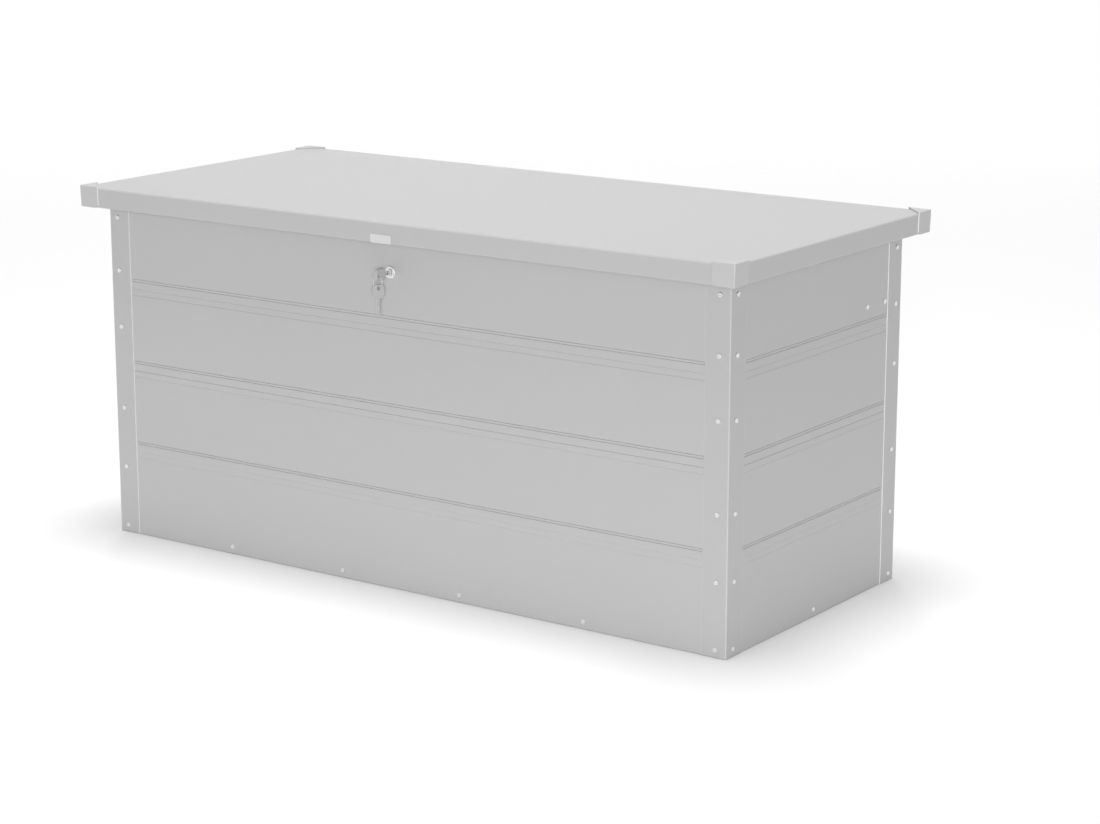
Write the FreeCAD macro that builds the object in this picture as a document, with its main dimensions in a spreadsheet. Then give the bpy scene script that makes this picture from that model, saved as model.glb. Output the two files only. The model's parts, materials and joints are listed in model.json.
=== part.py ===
import FreeCAD, Part
import math
import os
import Sketcher

# Garden storage chest of folded sheet steel: four walls of two sheets each between corner posts,
# a floor in two trays, and a hinged lid with plastic corner caps, two gas struts and a cam lock.
# Frame: millimetres, X to the right, Y to the back, Z up, origin on the ground under the middle.

SIZES = [
    ("overall_length", 1320, "over the lid's corner caps, side to side"),
    ("overall_depth", 610, "over the lid's corner caps, front to back"),
    ("overall_height", 620, "ground to the top of the corner caps"),
    ("overhang_side", 30, "how far the lid stands out over the body at each end"),
    ("overhang_front", 40, "how far it stands out at the front and at the back"),
    ("sheet_fit", 0.3, "room between sheet edges that meet, and between lid and body"),
    ("wall_gauge", 0.6, "thickness of a wall sheet"),
    ("post_gauge", 1.0, "thickness of a corner post"),
    ("post_leg", 44, "width of each leg of a corner post"),
    ("post_fold", 2.5, "outer radius of the corner post's fold"),
    ("wall_head", 40, "from the uppermost of the wall's four equal fields to the caps' top"),
    ("band_drop", 7, "from a field's top down to the foot of the band there"),
    ("band_height", 30, "height of a recessed band"),
    ("band_depth", 4.0, "depth of a recessed band"),
    ("band_step_height", 6, "height of the shallow step at the top of a band"),
    ("band_step_depth", 1.8, "depth of that step"),
    ("rib_base", 12, "from a band's foot to its rib"),
    ("rib_height", 6, "height of the rib"),
    ("rib_rise", 1.5, "how far the rib stands out of the band"),
    ("seam_height", 9, "from the middle band's foot to the upper sheet's edge"),
    ("seam_lap", 11, "how far the lower sheet runs up behind the upper one"),
    ("rail_gauge", 0.8, "thickness of a top rail"),
    ("rail_upright", 55, "height of a top rail"),
    ("rail_shelf", 18, "width of a top rail's shelf"),
    ("floor_gauge", 0.6, "thickness of the floor trays"),
    ("floor_rise", 25, "height of the floor trays' edges"),
    ("floor_seam_rise", 7, "height of the trays' edges where they meet"),
    ("lid_gauge", 0.8, "thickness of the lid sheet"),
    ("rim_height", 37, "from the rim's lower edge to the caps' top"),
    ("rim_return", 10, "width of the rim's inward fold"),
    ("lid_edge", 3, "outer radius of the lid's folds"),
    ("corner_relief", 4, "square cut out of the lid sheet at each corner"),
    ("cap_wall", 2.5, "thickness of a corner cap"),
    ("cap_leg", 41, "length of a corner cap along each side"),
    ("cap_bevel", 1.2, "bevel of a corner cap's outer edges"),
    ("cap_toe", 4, "bevel of a corner cap's lower free corners"),
    ("brace_depth", 12, "depth of a lid brace"),
    ("brace_flange", 8, "width of a lid brace's flange"),
    ("brace_crown", 18, "width of a lid brace's crown"),
    ("brace_gauge", 0.8, "thickness of a lid brace"),
    ("brace_inset", 110, "from the body's end to the nearest brace"),
    ("hinge_inset", 200, "from the body's end to the middle of a hinge"),
    ("hinge_width", 70, "width of a hinge"),
    ("hinge_gauge", 2.0, "thickness of a hinge leaf"),
    ("hinge_leaf", 39, "height of the leaf on the wall"),
    ("hinge_drop", 36, "from the caps' top down to the hinge pins"),
    ("knuckle_radius", 4.5, "outer radius of a hinge knuckle"),
    ("knuckle_offset", 1.0, "room between knuckle and wall"),
    ("knuckle_length", 20, "length of an outer knuckle"),
    ("hinge_pin_radius", 2.5, "radius of a hinge pin"),
    ("running_fit", 0.05, "radial room round a pin or a shaft"),
    ("screw_radius", 4.5, "radius of a screw head"),
    ("screw_height", 2.4, "height of a screw head"),
    ("nut_width", 7, "width across a nut's flats"),
    ("nut_height", 3.2, "height of a nut"),
    ("screw_edge", 19, "from the body's corner to the screw column"),
    ("floor_screw_height", 12, "height of the lowest screws"),
    ("screw_under_band", 19, "from the lowest band down to the screw under it"),
    ("screw_over_band", 12, "from the top band up to the screw over it"),
    ("top_screw_drop", 57, "from the caps' top down to the uppermost screws"),
    ("strut_pivot_inset", 83, "from the body's back to the wall pivot of a strut"),
    ("strut_pivot_rise", 21, "from the top band up to the wall pivot"),
    ("strut_lid_inset", 270, "from the body's back to the lid pivot of a strut, lid shut"),
    ("strut_lid_drop", 16, "from the caps' top down to the lid pivot, lid shut"),
    ("strut_inset", 34, "from the body's side to a strut's middle plane"),
    ("strut_screw_pitch", 58, "between the two screws of a strut's wall bracket"),
    ("tube_radius", 7.5, "outer radius of a strut's cylinder"),
    ("tube_wall", 0.8, "wall of a strut's cylinder"),
    ("rod_radius", 3.0, "radius of a strut's rod"),
    ("strut_eye_radius", 8.0, "outer radius of a strut's eyes"),
    ("strut_eye_width", 9.0, "width of a strut's eyes"),
    ("stud_radius", 3.0, "radius of a strut's studs"),
    ("stud_head", 5.5, "radius of a stud's heads"),
    ("bracket_gauge", 2.0, "thickness of the struts' brackets"),
    ("bracket_height", 26, "height of a strut's wall bracket"),
    ("bracket_crown", 34, "width of the wall bracket's raised middle"),
    ("lid_bracket_length", 44, "length of a strut's lid bracket"),
    ("lid_bracket_drop", 24, "how far the lid bracket hangs under the lid"),
    ("lid_bracket_foot", 20, "width of the lid bracket's foot"),
    ("lock_drop", 90, "from the caps' top down to the lock's axis"),
    ("lock_aside", 12, "from the chest's middle to the lock's axis, on its left"),
    ("lock_barrel_radius", 8.0, "radius of the lock's barrel"),
    ("lock_barrel_length", 28, "length of the barrel behind the wall's face"),
    ("lock_bezel_radius", 10.0, "radius of the lock's bezel"),
    ("lock_bezel_height", 2.0, "height of the bezel"),
    ("lock_nose_radius", 7.0, "radius of the lock's nose"),
    ("lock_nose_reach", 8.0, "how far the nose stands out of the wall's face"),
    ("plug_radius", 5.0, "radius of the lock's plug"),
    ("lock_nut_width", 22, "width across the lock nut's flats"),
    ("lock_nut_height", 4, "height of the lock nut"),
    ("cam_length", 38, "from the lock's axis to the cam's tip"),
    ("cam_width", 14, "width of the cam"),
    ("cam_gauge", 2.0, "thickness of the cam"),
    ("cam_square", 6.0, "side of the plug's square tail"),
    ("catch_gauge", 1.5, "thickness of the catch"),
    ("catch_width", 13, "width of the catch"),
    ("catch_centre", 37, "from the lock's axis to the catch's middle"),
    ("catch_room", 1.0, "room between the locked cam and the catch"),
    ("catch_ledge", 8, "width of the ledge that the cam holds"),
    ("catch_foot", 25, "width of the catch's foot under the lid"),
    ("key_thickness", 5, "thickness of a key's plastic head"),
    ("key_head_width", 20, "width of a key's head"),
    ("key_head_length", 23.7, "length of a key's head"),
    ("key_head_round", 7, "radius that the head's corners follow"),
    ("key_hole_radius", 3.0, "radius of the hole in the head"),
    ("key_hole_inset", 6, "from the head's end to the hole's centre"),
    ("blade_thickness", 2.0, "thickness of a key's blade"),
    ("blade_width", 6.4, "width of a key's blade"),
    ("blade_length", 26, "length of a key's blade"),
    ("key_neck", 7, "bare blade between the lock's nose and the key's head"),
    ("blade_fit", 0.2, "room round the blade in the plug"),
    ("ring_radius", 9.0, "mean radius of the key ring"),
    ("ring_wire", 0.8, "radius of the ring's wire"),
    ("ring_room", 0.8, "room between the ring's wire and the holes"),
    ("plate_length", 42, "length of the plate on the rim"),
    ("plate_height", 14.5, "height of that plate"),
    ("plate_gauge", 1.2, "thickness of that plate"),
    ("plate_rise", 0.5, "from the rim's lower edge to the plate"),
]

doc = FreeCAD.newDocument("garden_storage_chest")
sheet = doc.addObject("Spreadsheet::Sheet", "Sizes")
for row, (alias, number, meaning) in enumerate(SIZES, start=1):
    sheet.set(f"A{row}", alias)
    sheet.set(f"B{row}", str(number))
    sheet.set(f"C{row}", meaning)
    sheet.setAlias(f"B{row}", alias)
doc.recompute()


class Size:
    """A length: its formula in the sheet's words, and the number that it comes to now."""

    def __init__(self, formula, number):
        self.formula = formula
        self.number = number

    def joined(self, sign, other, number):
        return Size(f"({self.formula} {sign} {other.formula})", number)

    def __add__(self, other):
        other = as_size(other)
        return self.joined("+", other, self.number + other.number)

    def __sub__(self, other):
        other = as_size(other)
        return self.joined("-", other, self.number - other.number)

    def __mul__(self, other):
        other = as_size(other)
        return self.joined("*", other, self.number * other.number)

    def __truediv__(self, other):
        other = as_size(other)
        return self.joined("/", other, self.number / other.number)

    def __neg__(self):
        return Size(f"(-1 * {self.formula})", -self.number)

    def __float__(self):
        return float(self.number)


def as_size(thing):
    """A plain number as a Size, and a Size as it is."""
    if isinstance(thing, Size):
        return thing
    return Size(repr(float(thing)), float(thing))


def cell(alias):
    """The Size that one cell of the sheet holds."""
    return Size(f"Sizes.{alias}", float(sheet.get(alias)))


def bind(thing, name, length):
    """Ties a property to a Size."""
    length = as_size(length)
    thing.setExpression(name, length.formula)


# Lengths that several pieces share.
half_length = cell("overall_length") / 2 - cell("overhang_side")
half_depth = cell("overall_depth") / 2 - cell("overhang_front")
fit = cell("sheet_fit")
rim_bottom = cell("overall_height") - cell("rim_height")
lid_top = cell("overall_height") - cell("cap_wall")
lid_underside = lid_top - cell("lid_gauge")
wall_top = lid_underside - cell("brace_depth") - fit
wall_face = cell("post_gauge")
wall_back = cell("post_gauge") + cell("wall_gauge")
band_pitch = (cell("overall_height") - cell("wall_head")) / 4
low_band = band_pitch - cell("band_drop")
middle_band = low_band + band_pitch
top_band = middle_band + band_pitch
lid_half_length = cell("overall_length") / 2 - cell("cap_wall")
lid_half_depth = cell("overall_depth") / 2 - cell("cap_wall")
hinge_back = half_depth - wall_face + cell("knuckle_offset") + cell("knuckle_radius")
hinge_height = cell("overall_height") - cell("hinge_drop")
hinge_spacing = half_length - cell("hinge_inset")
lock_height = cell("overall_height") - cell("lock_drop")
lock_side = -cell("lock_aside")
strut_pivot_back = half_depth - cell("strut_pivot_inset")
strut_pivot_height = top_band + cell("band_height") + cell("strut_pivot_rise")
strut_lid_back = half_depth - cell("strut_lid_inset")
strut_lid_height = cell("overall_height") - cell("strut_lid_drop")
screw_heights = [
    low_band - cell("screw_under_band"),
    (low_band + cell("band_height") + middle_band) / 2,
    (middle_band + cell("band_height") + top_band) / 2,
    top_band + cell("band_height") + cell("screw_over_band"),
]
top_screw_height = cell("overall_height") - cell("top_screw_drop")
floor_screw_pitch = (half_length - cell("screw_edge")) * 2 / 5

TURNS = {"front": 0, "right": 90, "rear": 180, "left": 270}
REACH = {"front": half_depth, "rear": half_depth, "left": half_length, "right": half_length}
SPAN = {"front": half_length, "rear": half_length, "left": half_depth, "right": half_depth}
pieces = []


def turned(angle, x=0.0, y=0.0, z=0.0):
    """A placement: turned about the upright axis, then moved."""
    return FreeCAD.Placement(
        FreeCAD.Vector(float(x), float(y), float(z)),
        FreeCAD.Rotation(FreeCAD.Vector(0, 0, 1), angle),
    )


def keep(thing, label, placement=None):
    """Names a finished piece, puts it in its place and adds it to the list."""
    thing.Label = label
    if placement is not None:
        thing.Placement = placement
    pieces.append(thing)
    return thing


def new_body(label):
    return doc.addObject("PartDesign::Body", label)


def new_sketch(body, name, role):
    """An empty sketch on one of the body's own origin planes."""
    plane = [item for item in body.Origin.OriginFeatures if item.Role == role][0]
    sketch = body.newObject("Sketcher::SketchObject", name)
    sketch.AttachmentSupport = [(plane, "")]
    sketch.MapMode = "FlatFace"
    return sketch


def draw(sketch, points):
    """A closed outline through points, with every coordinate tied to its Size."""
    points = [(as_size(x), as_size(y)) for x, y in points]
    corners = [FreeCAD.Vector(x.number, y.number, 0) for x, y in points]
    first = sketch.GeometryCount
    count = len(points)
    for start in range(count):
        sketch.addGeometry(Part.LineSegment(corners[start], corners[(start + 1) % count]), False)
    for start in range(count):
        following = first + (start + 1) % count
        sketch.addConstraint(Sketcher.Constraint("Coincident", first + start, 2, following, 1))
    for start, (x, y) in enumerate(points):
        for kind, length in (("DistanceX", x), ("DistanceY", y)):
            index = sketch.addConstraint(
                Sketcher.Constraint(kind, -1, 1, first + start, 1, length.number)
            )
            sketch.setExpression(f"Constraints[{index}]", length.formula)
    return sketch


def draw_circle(sketch, x, y, radius):
    """A circle, with its centre and radius tied to their Sizes."""
    x, y, radius = as_size(x), as_size(y), as_size(radius)
    centre = FreeCAD.Vector(x.number, y.number, 0)
    circle = sketch.addGeometry(Part.Circle(centre, FreeCAD.Vector(0, 0, 1), radius.number), False)
    for kind, length in (("DistanceX", x), ("DistanceY", y)):
        index = sketch.addConstraint(Sketcher.Constraint(kind, -1, 1, circle, 3, length.number))
        sketch.setExpression(f"Constraints[{index}]", length.formula)
    index = sketch.addConstraint(Sketcher.Constraint("Radius", circle, radius.number))
    sketch.setExpression(f"Constraints[{index}]", radius.formula)
    return sketch


def rectangle(x_low, x_high, y_low, y_high):
    return [(x_low, y_low), (x_high, y_low), (x_high, y_high), (x_low, y_high)]


def round_points(x, y, radius, sides, start=0.0, turn=360.0):
    """Points round a centre, one for each side of a full turn or of the part that is asked for."""
    angles = [math.radians(start + turn * (step + 0.5) / sides) for step in range(sides)]
    return [(radius * math.cos(angle) + x, radius * math.sin(angle) + y) for angle in angles]


def pad(body, sketch, length, both_ways=False, reversed_way=False):
    """Extrudes a sketch, from its plane or evenly to both sides of it."""
    feature = body.newObject("PartDesign::Pad", "Pad")
    feature.Profile = sketch
    feature.Midplane = both_ways
    feature.Reversed = reversed_way
    bind(feature, "Length", length)
    doc.recompute()
    return feature


def pocket(body, sketch, length=None, reversed_way=False):
    """Cuts a sketch out of the body, to a depth or through everything on both sides."""
    before = body.Shape.Volume
    feature = body.newObject("PartDesign::Pocket", "Pocket")
    feature.Profile = sketch
    feature.Reversed = reversed_way
    if length is None:
        feature.Midplane = True
        feature.Type = "ThroughAll"
    else:
        bind(feature, "Length", length)
    doc.recompute()
    if body.Shape.Volume >= before:
        raise RuntimeError(f"{body.Label}: a cut removes nothing")
    return feature


def edges_where(shape, test):
    """Names of the straight edges whose two ends both pass a test."""
    found = []
    for number, edge in enumerate(shape.Edges, start=1):
        ends = [vertex.Point for vertex in edge.Vertexes]
        if len(ends) == 2 and test(*ends):
            found.append(f"Edge{number}")
    return found


def soften(body, base, names, size, kind="Fillet"):
    """Rounds or bevels edges of the body's last feature."""
    feature = body.newObject(f"PartDesign::{kind}", kind)
    feature.Base = (base, names)
    bind(feature, "Radius" if kind == "Fillet" else "Size", size)
    doc.recompute()
    return feature


def near(first, second):
    return abs(float(first) - float(second)) < 1e-4


def upright_edge(x, y):
    """A test for the upright edge that stands at x and y."""
    return lambda a, b: all(near(p.x, x) and near(p.y, y) for p in (a, b)) and not near(a.z, b.z)


# Wall sheets. A wall is drawn as the front one: its profile lies in the YZ plane and is
# extruded evenly along X; the other three walls are turned about the upright axis.


def band_folds(foot, inset):
    """The folds of one band, bottom to top, as pairs of inset from the wall's face and height."""
    top = foot + cell("band_height")
    rib_foot = foot + cell("rib_base")
    rib_top = rib_foot + cell("rib_height")
    step = top - cell("band_step_height")
    rise = cell("rib_rise")
    deep = cell("band_depth")
    shallow = cell("band_step_depth")
    return [
        (inset, foot),
        (inset + deep, foot + deep),
        (inset + deep, rib_foot),
        (inset + deep - rise, rib_foot + rise),
        (inset + deep - rise, rib_top - rise),
        (inset + deep, rib_top),
        (inset + deep, step - deep + shallow),
        (inset + shallow, step),
        (inset + shallow, top - shallow),
        (inset, top),
    ]


def folded_outline(folds, gauge, reach):
    """A sheet's outline from the folds of its outer face. Every slope is at 45 degrees, so the
    inner face's folds lie one gauge in and a mitre's share of it up or down."""
    mitre = math.tan(math.radians(22.5))
    outer = []
    inner = []
    for index, (inset, height) in enumerate(folds):
        above = folds[min(index + 1, len(folds) - 1)][0]
        below = folds[max(index - 1, 0)][0]
        lean = float(above) - float(below)
        shift = gauge * (mitre * (lean < -1e-6) - mitre * (lean > 1e-6))
        outer.append((inset - reach, height))
        inner.append((inset + gauge - reach, height + shift))
    return outer + inner[::-1]


def wall_sheet(side, part, folds):
    body = new_body(f"{side}_wall_{part}")
    reach = REACH[side]
    outline = draw(new_sketch(body, "Profile", "YZ_Plane"), folded_outline(folds, cell("wall_gauge"), reach))
    if side in ("front", "rear"):
        half = SPAN[side] - cell("post_fold") - fit
    else:
        half = SPAN[side] - wall_back - cell("band_depth") - cell("wall_gauge") - fit
    pad(body, outline, half * 2, both_ways=True)
    return keep(body, f"{side}_wall_{part}", turned(TURNS[side]))


def lower_folds():
    """Ground to the lap behind the upper sheet: the lowest band, then the middle band's foot."""
    deep = cell("band_depth") + cell("wall_gauge")
    lap_top = middle_band + cell("seam_height") + cell("seam_lap")
    folds = [(wall_face, as_size(0))]
    folds += band_folds(low_band, wall_face)
    folds += [(wall_face, middle_band), (wall_face + deep, middle_band + deep)]
    folds += [(wall_face + deep, lap_top)]
    return folds


def upper_folds():
    """The middle band from its seam up, the top band, and the flat up to the rail."""
    folds = [(wall_face + cell("band_depth"), middle_band + cell("seam_height"))]
    folds += band_folds(middle_band, wall_face)[2:]
    folds += band_folds(top_band, wall_face)
    folds += [(wall_face, wall_top)]
    return folds


for side in TURNS:
    wall_sheet(side, "lower", lower_folds())
    upper = wall_sheet(side, "upper", upper_folds())
    if side == "front":
        hole = new_sketch(upper, "LockHole", "XZ_Plane")
        draw_circle(hole, lock_side, lock_height, cell("lock_barrel_radius") + cell("running_fit"))
        wall_cut = pocket(upper, hole)


# Corner posts: equal angles with a rounded fold, drawn with the outer corner at the origin.
CORNERS = {
    "front_left": (0, -1, -1),
    "front_right": (90, 1, -1),
    "rear_right": (180, 1, 1),
    "rear_left": (270, -1, 1),
}


def angle_outline(leg, gauge):
    return [(0, 0), (leg, 0), (leg, gauge), (gauge, gauge), (gauge, leg), (0, leg)]


def corner_post(corner):
    turn, right, back = CORNERS[corner]
    body = new_body(f"corner_post_{corner}")
    leg, gauge, fold = cell("post_leg"), cell("post_gauge"), cell("post_fold")
    outline = draw(new_sketch(body, "Profile", "XY_Plane"), angle_outline(leg, gauge))
    angle = pad(body, outline, wall_top)
    outer = soften(body, angle, edges_where(angle.Shape, upright_edge(0, 0)), fold)
    soften(body, outer, edges_where(outer.Shape, upright_edge(gauge, gauge)), fold - gauge)
    keep(body, f"corner_post_{corner}", turned(turn, half_length * right, half_depth * back))


for corner in CORNERS:
    corner_post(corner)


# Top rails: angles inside the walls' upper edge. The shelves of the side rails stop short of
# the front and rear ones.


def top_rail(side, upright_half, shelf_half):
    body = new_body(f"top_rail_{side}")
    face = wall_back - REACH[side]
    gauge = cell("rail_gauge")
    foot = wall_top - cell("rail_upright")
    upright = new_sketch(body, "Upright", "YZ_Plane")
    draw(upright, rectangle(face, face + gauge, foot, wall_top))
    pad(body, upright, upright_half * 2, both_ways=True)
    shelf = new_sketch(body, "Shelf", "YZ_Plane")
    draw(shelf, rectangle(face, face + cell("rail_shelf"), wall_top - gauge, wall_top))
    pad(body, shelf, shelf_half * 2, both_ways=True)
    keep(body, f"top_rail_{side}", turned(TURNS[side]))


long_half = half_length - wall_back - cell("rail_gauge") - fit
short_upright = half_depth - wall_back - cell("rail_gauge") - fit
short_shelf = half_depth - wall_back - cell("rail_shelf") - fit
for side in ("front", "rear"):
    top_rail(side, long_half, long_half)
for side in ("left", "right"):
    top_rail(side, short_upright, short_shelf)


# Floor: two trays that meet in the middle, under a splice strip of hat section.


def box(name, x, y, z, length, width, height):
    """A box by its low corner and its three lengths, all tied to their Sizes."""
    block = doc.addObject("Part::Box", name)
    for prop, value in (("Length", length), ("Width", width), ("Height", height)):
        bind(block, prop, value)
    for prop, value in (("x", x), ("y", y), ("z", z)):
        bind(block, f"Placement.Base.{prop}", value)
    return block


def cut(base, tool):
    """Base less tool, with the tool named after the base."""
    result = doc.addObject("Part::Cut", f"{base.Name}_cut")
    result.Base = base
    result.Tool = tool
    return result


def fuse(name, *shapes):
    result = doc.addObject("Part::MultiFuse", name)
    result.Shapes = list(shapes)
    return result


def floor_panel(label, angle):
    """The right tray, or the left one when turned half round."""
    gauge, rise, seam = cell("floor_gauge"), cell("floor_rise"), cell("floor_seam_rise")
    length = half_length - wall_back - fit / 2
    width = (half_depth - wall_back) * 2
    inside = length - gauge * 2
    deep = width - gauge * 2
    tray = box(f"{label}_blank", fit / 2, -(width / 2), 0, length, width, rise)
    hollow = box(f"{label}_hollow", fit / 2 + gauge, -(deep / 2), gauge, inside, deep, rise)
    notch = box(f"{label}_notch", 0, -(width / 2), seam, fit / 2 + gauge, width, rise)
    open_tray = cut(cut(tray, hollow), notch)
    keep(open_tray, label, turned(angle))


floor_panel("floor_panel_right", 0)
floor_panel("floor_panel_left", 180)


def hat_outline(crown, flange, depth, gauge):
    """A hat section with its crown at height 0 and its flanges at the given depth above."""
    half = crown / 2
    brim = half + flange
    return [
        (-brim, depth),
        (-brim, depth - gauge),
        (-half, depth - gauge),
        (-half, 0),
        (half, 0),
        (half, depth - gauge),
        (brim, depth - gauge),
        (brim, depth),
        (half - gauge, depth),
        (half - gauge, gauge),
        (gauge - half, gauge),
        (gauge - half, depth),
    ]


def hat_section(label, crown, flange, depth, gauge, length, placement):
    """A hat section along Y, with its crown down."""
    body = new_body(label)
    outline = draw(new_sketch(body, "Profile", "XZ_Plane"), hat_outline(crown, flange, depth, gauge))
    pad(body, outline, length, both_ways=True)
    return keep(body, label, placement)


def place(x, y, z, axis, angle):
    """A placement: turned about an axis through the origin, then moved."""
    base = FreeCAD.Vector(float(x), float(y), float(z))
    return FreeCAD.Placement(base, FreeCAD.Rotation(FreeCAD.Vector(*axis), angle))


splice_gauge = cell("floor_gauge")
splice_depth = cell("floor_seam_rise") + splice_gauge
splice_length = (half_depth - wall_back - cell("floor_gauge") - fit) * 2
hat_section(
    "floor_splice", cell("brace_crown"), cell("brace_flange"), splice_depth, splice_gauge,
    splice_length, place(0, 0, cell("floor_gauge") + splice_depth, (0, 1, 0), 180),
)


# Lid sheet: a shallow tray upside down, with folded edges, an inward fold along the rim's
# foot and square reliefs at the corners. Local height 0 is the rim's foot.


def lid_panel():
    body = new_body("lid_panel")
    gauge = cell("lid_gauge")
    drop = lid_top - rim_bottom
    blank = pad(
        body,
        draw(
            new_sketch(body, "Blank", "XY_Plane"),
            rectangle(-lid_half_length, lid_half_length, -lid_half_depth, lid_half_depth),
        ),
        drop,
    )
    top_edges = edges_where(blank.Shape, lambda a, b: near(a.z, drop) and near(b.z, drop))
    rounded = soften(body, blank, top_edges, cell("lid_edge"))
    foot = [
        f"Face{number}"
        for number, face in enumerate(rounded.Shape.Faces, start=1)
        if near(face.BoundBox.ZMax, 0)
    ]
    shell = body.newObject("PartDesign::Thickness", "Shell")
    shell.Base = (rounded, foot)
    shell.Reversed = True
    bind(shell, "Value", gauge)
    doc.recompute()
    inner_x = lid_half_length - gauge
    inner_y = lid_half_depth - gauge
    lip = cell("rim_return")
    fold = new_sketch(body, "RimReturn", "XY_Plane")
    draw(fold, rectangle(-inner_x, inner_x, -inner_y, inner_y))
    draw(fold, rectangle(lip - inner_x, inner_x - lip, lip - inner_y, inner_y - lip))
    pad(body, fold, gauge)
    for name, size, depth in (("Relief", cell("corner_relief"), None), ("Mitre", lip + gauge * 2, gauge)):
        corners = new_sketch(body, name, "XY_Plane")
        for right in (-1, 1):
            for back in (-1, 1):
                edge_x = lid_half_length * right
                edge_y = lid_half_depth * back
                draw(corners, rectangle(edge_x, edge_x - size * right, edge_y, edge_y - size * back))
        pocket(body, corners, depth, reversed_way=True)
    keep(body, "lid_panel", turned(0, 0, 0, rim_bottom))


lid_panel()


def corner_cap(corner):
    """A cap that wraps the lid's corner: two legs and a three-cornered top. Its outer corner is
    at the origin and its lower edge at height 0."""
    turn, right, back = CORNERS[corner]
    body = new_body(f"lid_cap_{corner}")
    leg, wall, tall = cell("cap_leg"), cell("cap_wall"), cell("rim_height")
    blank = pad(body, draw(new_sketch(body, "Blank", "XY_Plane"), rectangle(0, leg, 0, leg)), tall)

    def outer_edge(a, b):
        on_x = near(a.x, 0) and near(b.x, 0)
        on_y = near(a.y, 0) and near(b.y, 0)
        on_top = near(a.z, tall) and near(b.z, tall)
        return (on_x and on_y) or (on_top and (on_x or on_y))

    def toe_edge(a, b):
        on_foot = near(a.z, 0) and near(b.z, 0)
        return on_foot and ((near(a.x, leg) and near(b.x, leg)) or (near(a.y, leg) and near(b.y, leg)))

    edged = soften(body, blank, edges_where(blank.Shape, outer_edge), cell("cap_bevel"), "Chamfer")
    soften(body, edged, edges_where(edged.Shape, toe_edge), cell("cap_toe"), "Chamfer")
    inside = draw(new_sketch(body, "Inside", "XY_Plane"), rectangle(wall, leg, wall, leg))
    pocket(body, inside, tall - wall, reversed_way=True)
    opening = draw(new_sketch(body, "Opening", "XY_Plane"), [(leg, wall), (leg, leg), (wall, leg)])
    pocket(body, opening, tall, reversed_way=True)
    x = cell("overall_length") / 2 * right
    y = cell("overall_depth") / 2 * back
    keep(body, f"lid_cap_{corner}", turned(turn, x, y, rim_bottom))


for corner in CORNERS:
    corner_cap(corner)


# Lid stiffening: three braces from front to back and a rail above the hinges.
brace = (cell("brace_crown"), cell("brace_flange"), cell("brace_depth"), cell("brace_gauge"))
brace_foot = lid_underside - cell("brace_depth")
brace_half_width = cell("brace_crown") / 2 + cell("brace_flange")
rail_back = lid_half_depth - cell("lid_edge") - fit - brace_half_width
brace_front = cell("lid_gauge") + cell("rim_return") + fit - lid_half_depth
brace_rear = rail_back - brace_half_width - fit
brace_length = brace_rear - brace_front
brace_middle = (brace_rear + brace_front) / 2
brace_spacing = half_length - cell("brace_inset")
for label, offset in (("left", -brace_spacing), ("centre", as_size(0)), ("right", brace_spacing)):
    hat_section(f"lid_brace_{label}", *brace, brace_length, turned(0, offset, brace_middle, brace_foot))
rail_length = (lid_half_length - cell("cap_leg")) * 2
hat_section("lid_rear_rail", *brace, rail_length, turned(90, 0, rail_back, brace_foot))


# Hinges. The wall leaf carries the two outer knuckles, the lid leaf the middle one.


def cylinder(name, radius, length, placement):
    """A cylinder along its own Z, tied to its Sizes."""
    rod = doc.addObject("Part::Cylinder", name)
    bind(rod, "Radius", radius)
    bind(rod, "Height", length)
    rod.Placement = placement
    return rod


def along_x(x, y, z):
    return place(x, y, z, (0, 1, 0), 90)


def hinge(side, offset):
    """Both leaves of one hinge, drawn about the pin's middle and then moved to it."""
    half = cell("hinge_width") / 2
    radius, gauge, knuckle = cell("knuckle_radius"), cell("hinge_gauge"), cell("knuckle_length")
    wall = -(radius + cell("knuckle_offset"))
    bore = cell("hinge_pin_radius") + cell("running_fit")
    spot = turned(0, offset, hinge_back, hinge_height)
    leaf_top = -(radius + cell("running_fit") * 10)
    name = f"hinge_wall_{side}"
    tall = cell("hinge_leaf")
    parts = [box(f"{name}_leaf", -half, wall, leaf_top - tall, half * 2, gauge, tall)]
    for end, start in (("first", -half), ("last", half - knuckle)):
        parts.append(cylinder(f"{name}_{end}", radius, knuckle, along_x(start, 0, 0)))
        parts.append(box(f"{name}_{end}_neck", start, wall, leaf_top - gauge, knuckle, -wall, radius))
    leaf = cut(fuse(name, *parts), cylinder(f"{name}_bore", bore, half * 2, along_x(-half, 0, 0)))
    keep(leaf, f"hinge_wall_leaf_{side}", spot)
    name = f"hinge_lid_{side}"
    middle = half - knuckle - fit
    rise = brace_foot - hinge_height
    clear = radius + cell("running_fit") * 10
    back = radius - gauge
    foot = rail_back + cell("brace_crown") / 2 - hinge_back - back
    parts = [
        cylinder(f"{name}_knuckle", radius, middle * 2, along_x(-middle, 0, 0)),
        box(f"{name}_neck", -middle, back, 0, middle * 2, gauge, clear),
        box(f"{name}_upright", -half, back, clear, half * 2, gauge, rise - clear),
        box(f"{name}_foot", -half, back, rise - gauge, half * 2, foot, gauge),
    ]
    leaf = cut(fuse(name, *parts), cylinder(f"{name}_bore", bore, middle * 2, along_x(-middle, 0, 0)))
    keep(leaf, f"hinge_lid_leaf_{side}", spot)


hinge_places = {"left": -hinge_spacing, "right": hinge_spacing}
for side, offset in hinge_places.items():
    hinge(side, offset)


def group(label, shapes, placement=None):
    """Separate solids that share one node."""
    thing = doc.addObject("Part::Feature", label)
    thing.Shape = Part.makeCompound(shapes)
    return keep(thing, label, placement)


def number(alias):
    return float(cell(alias))


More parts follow.
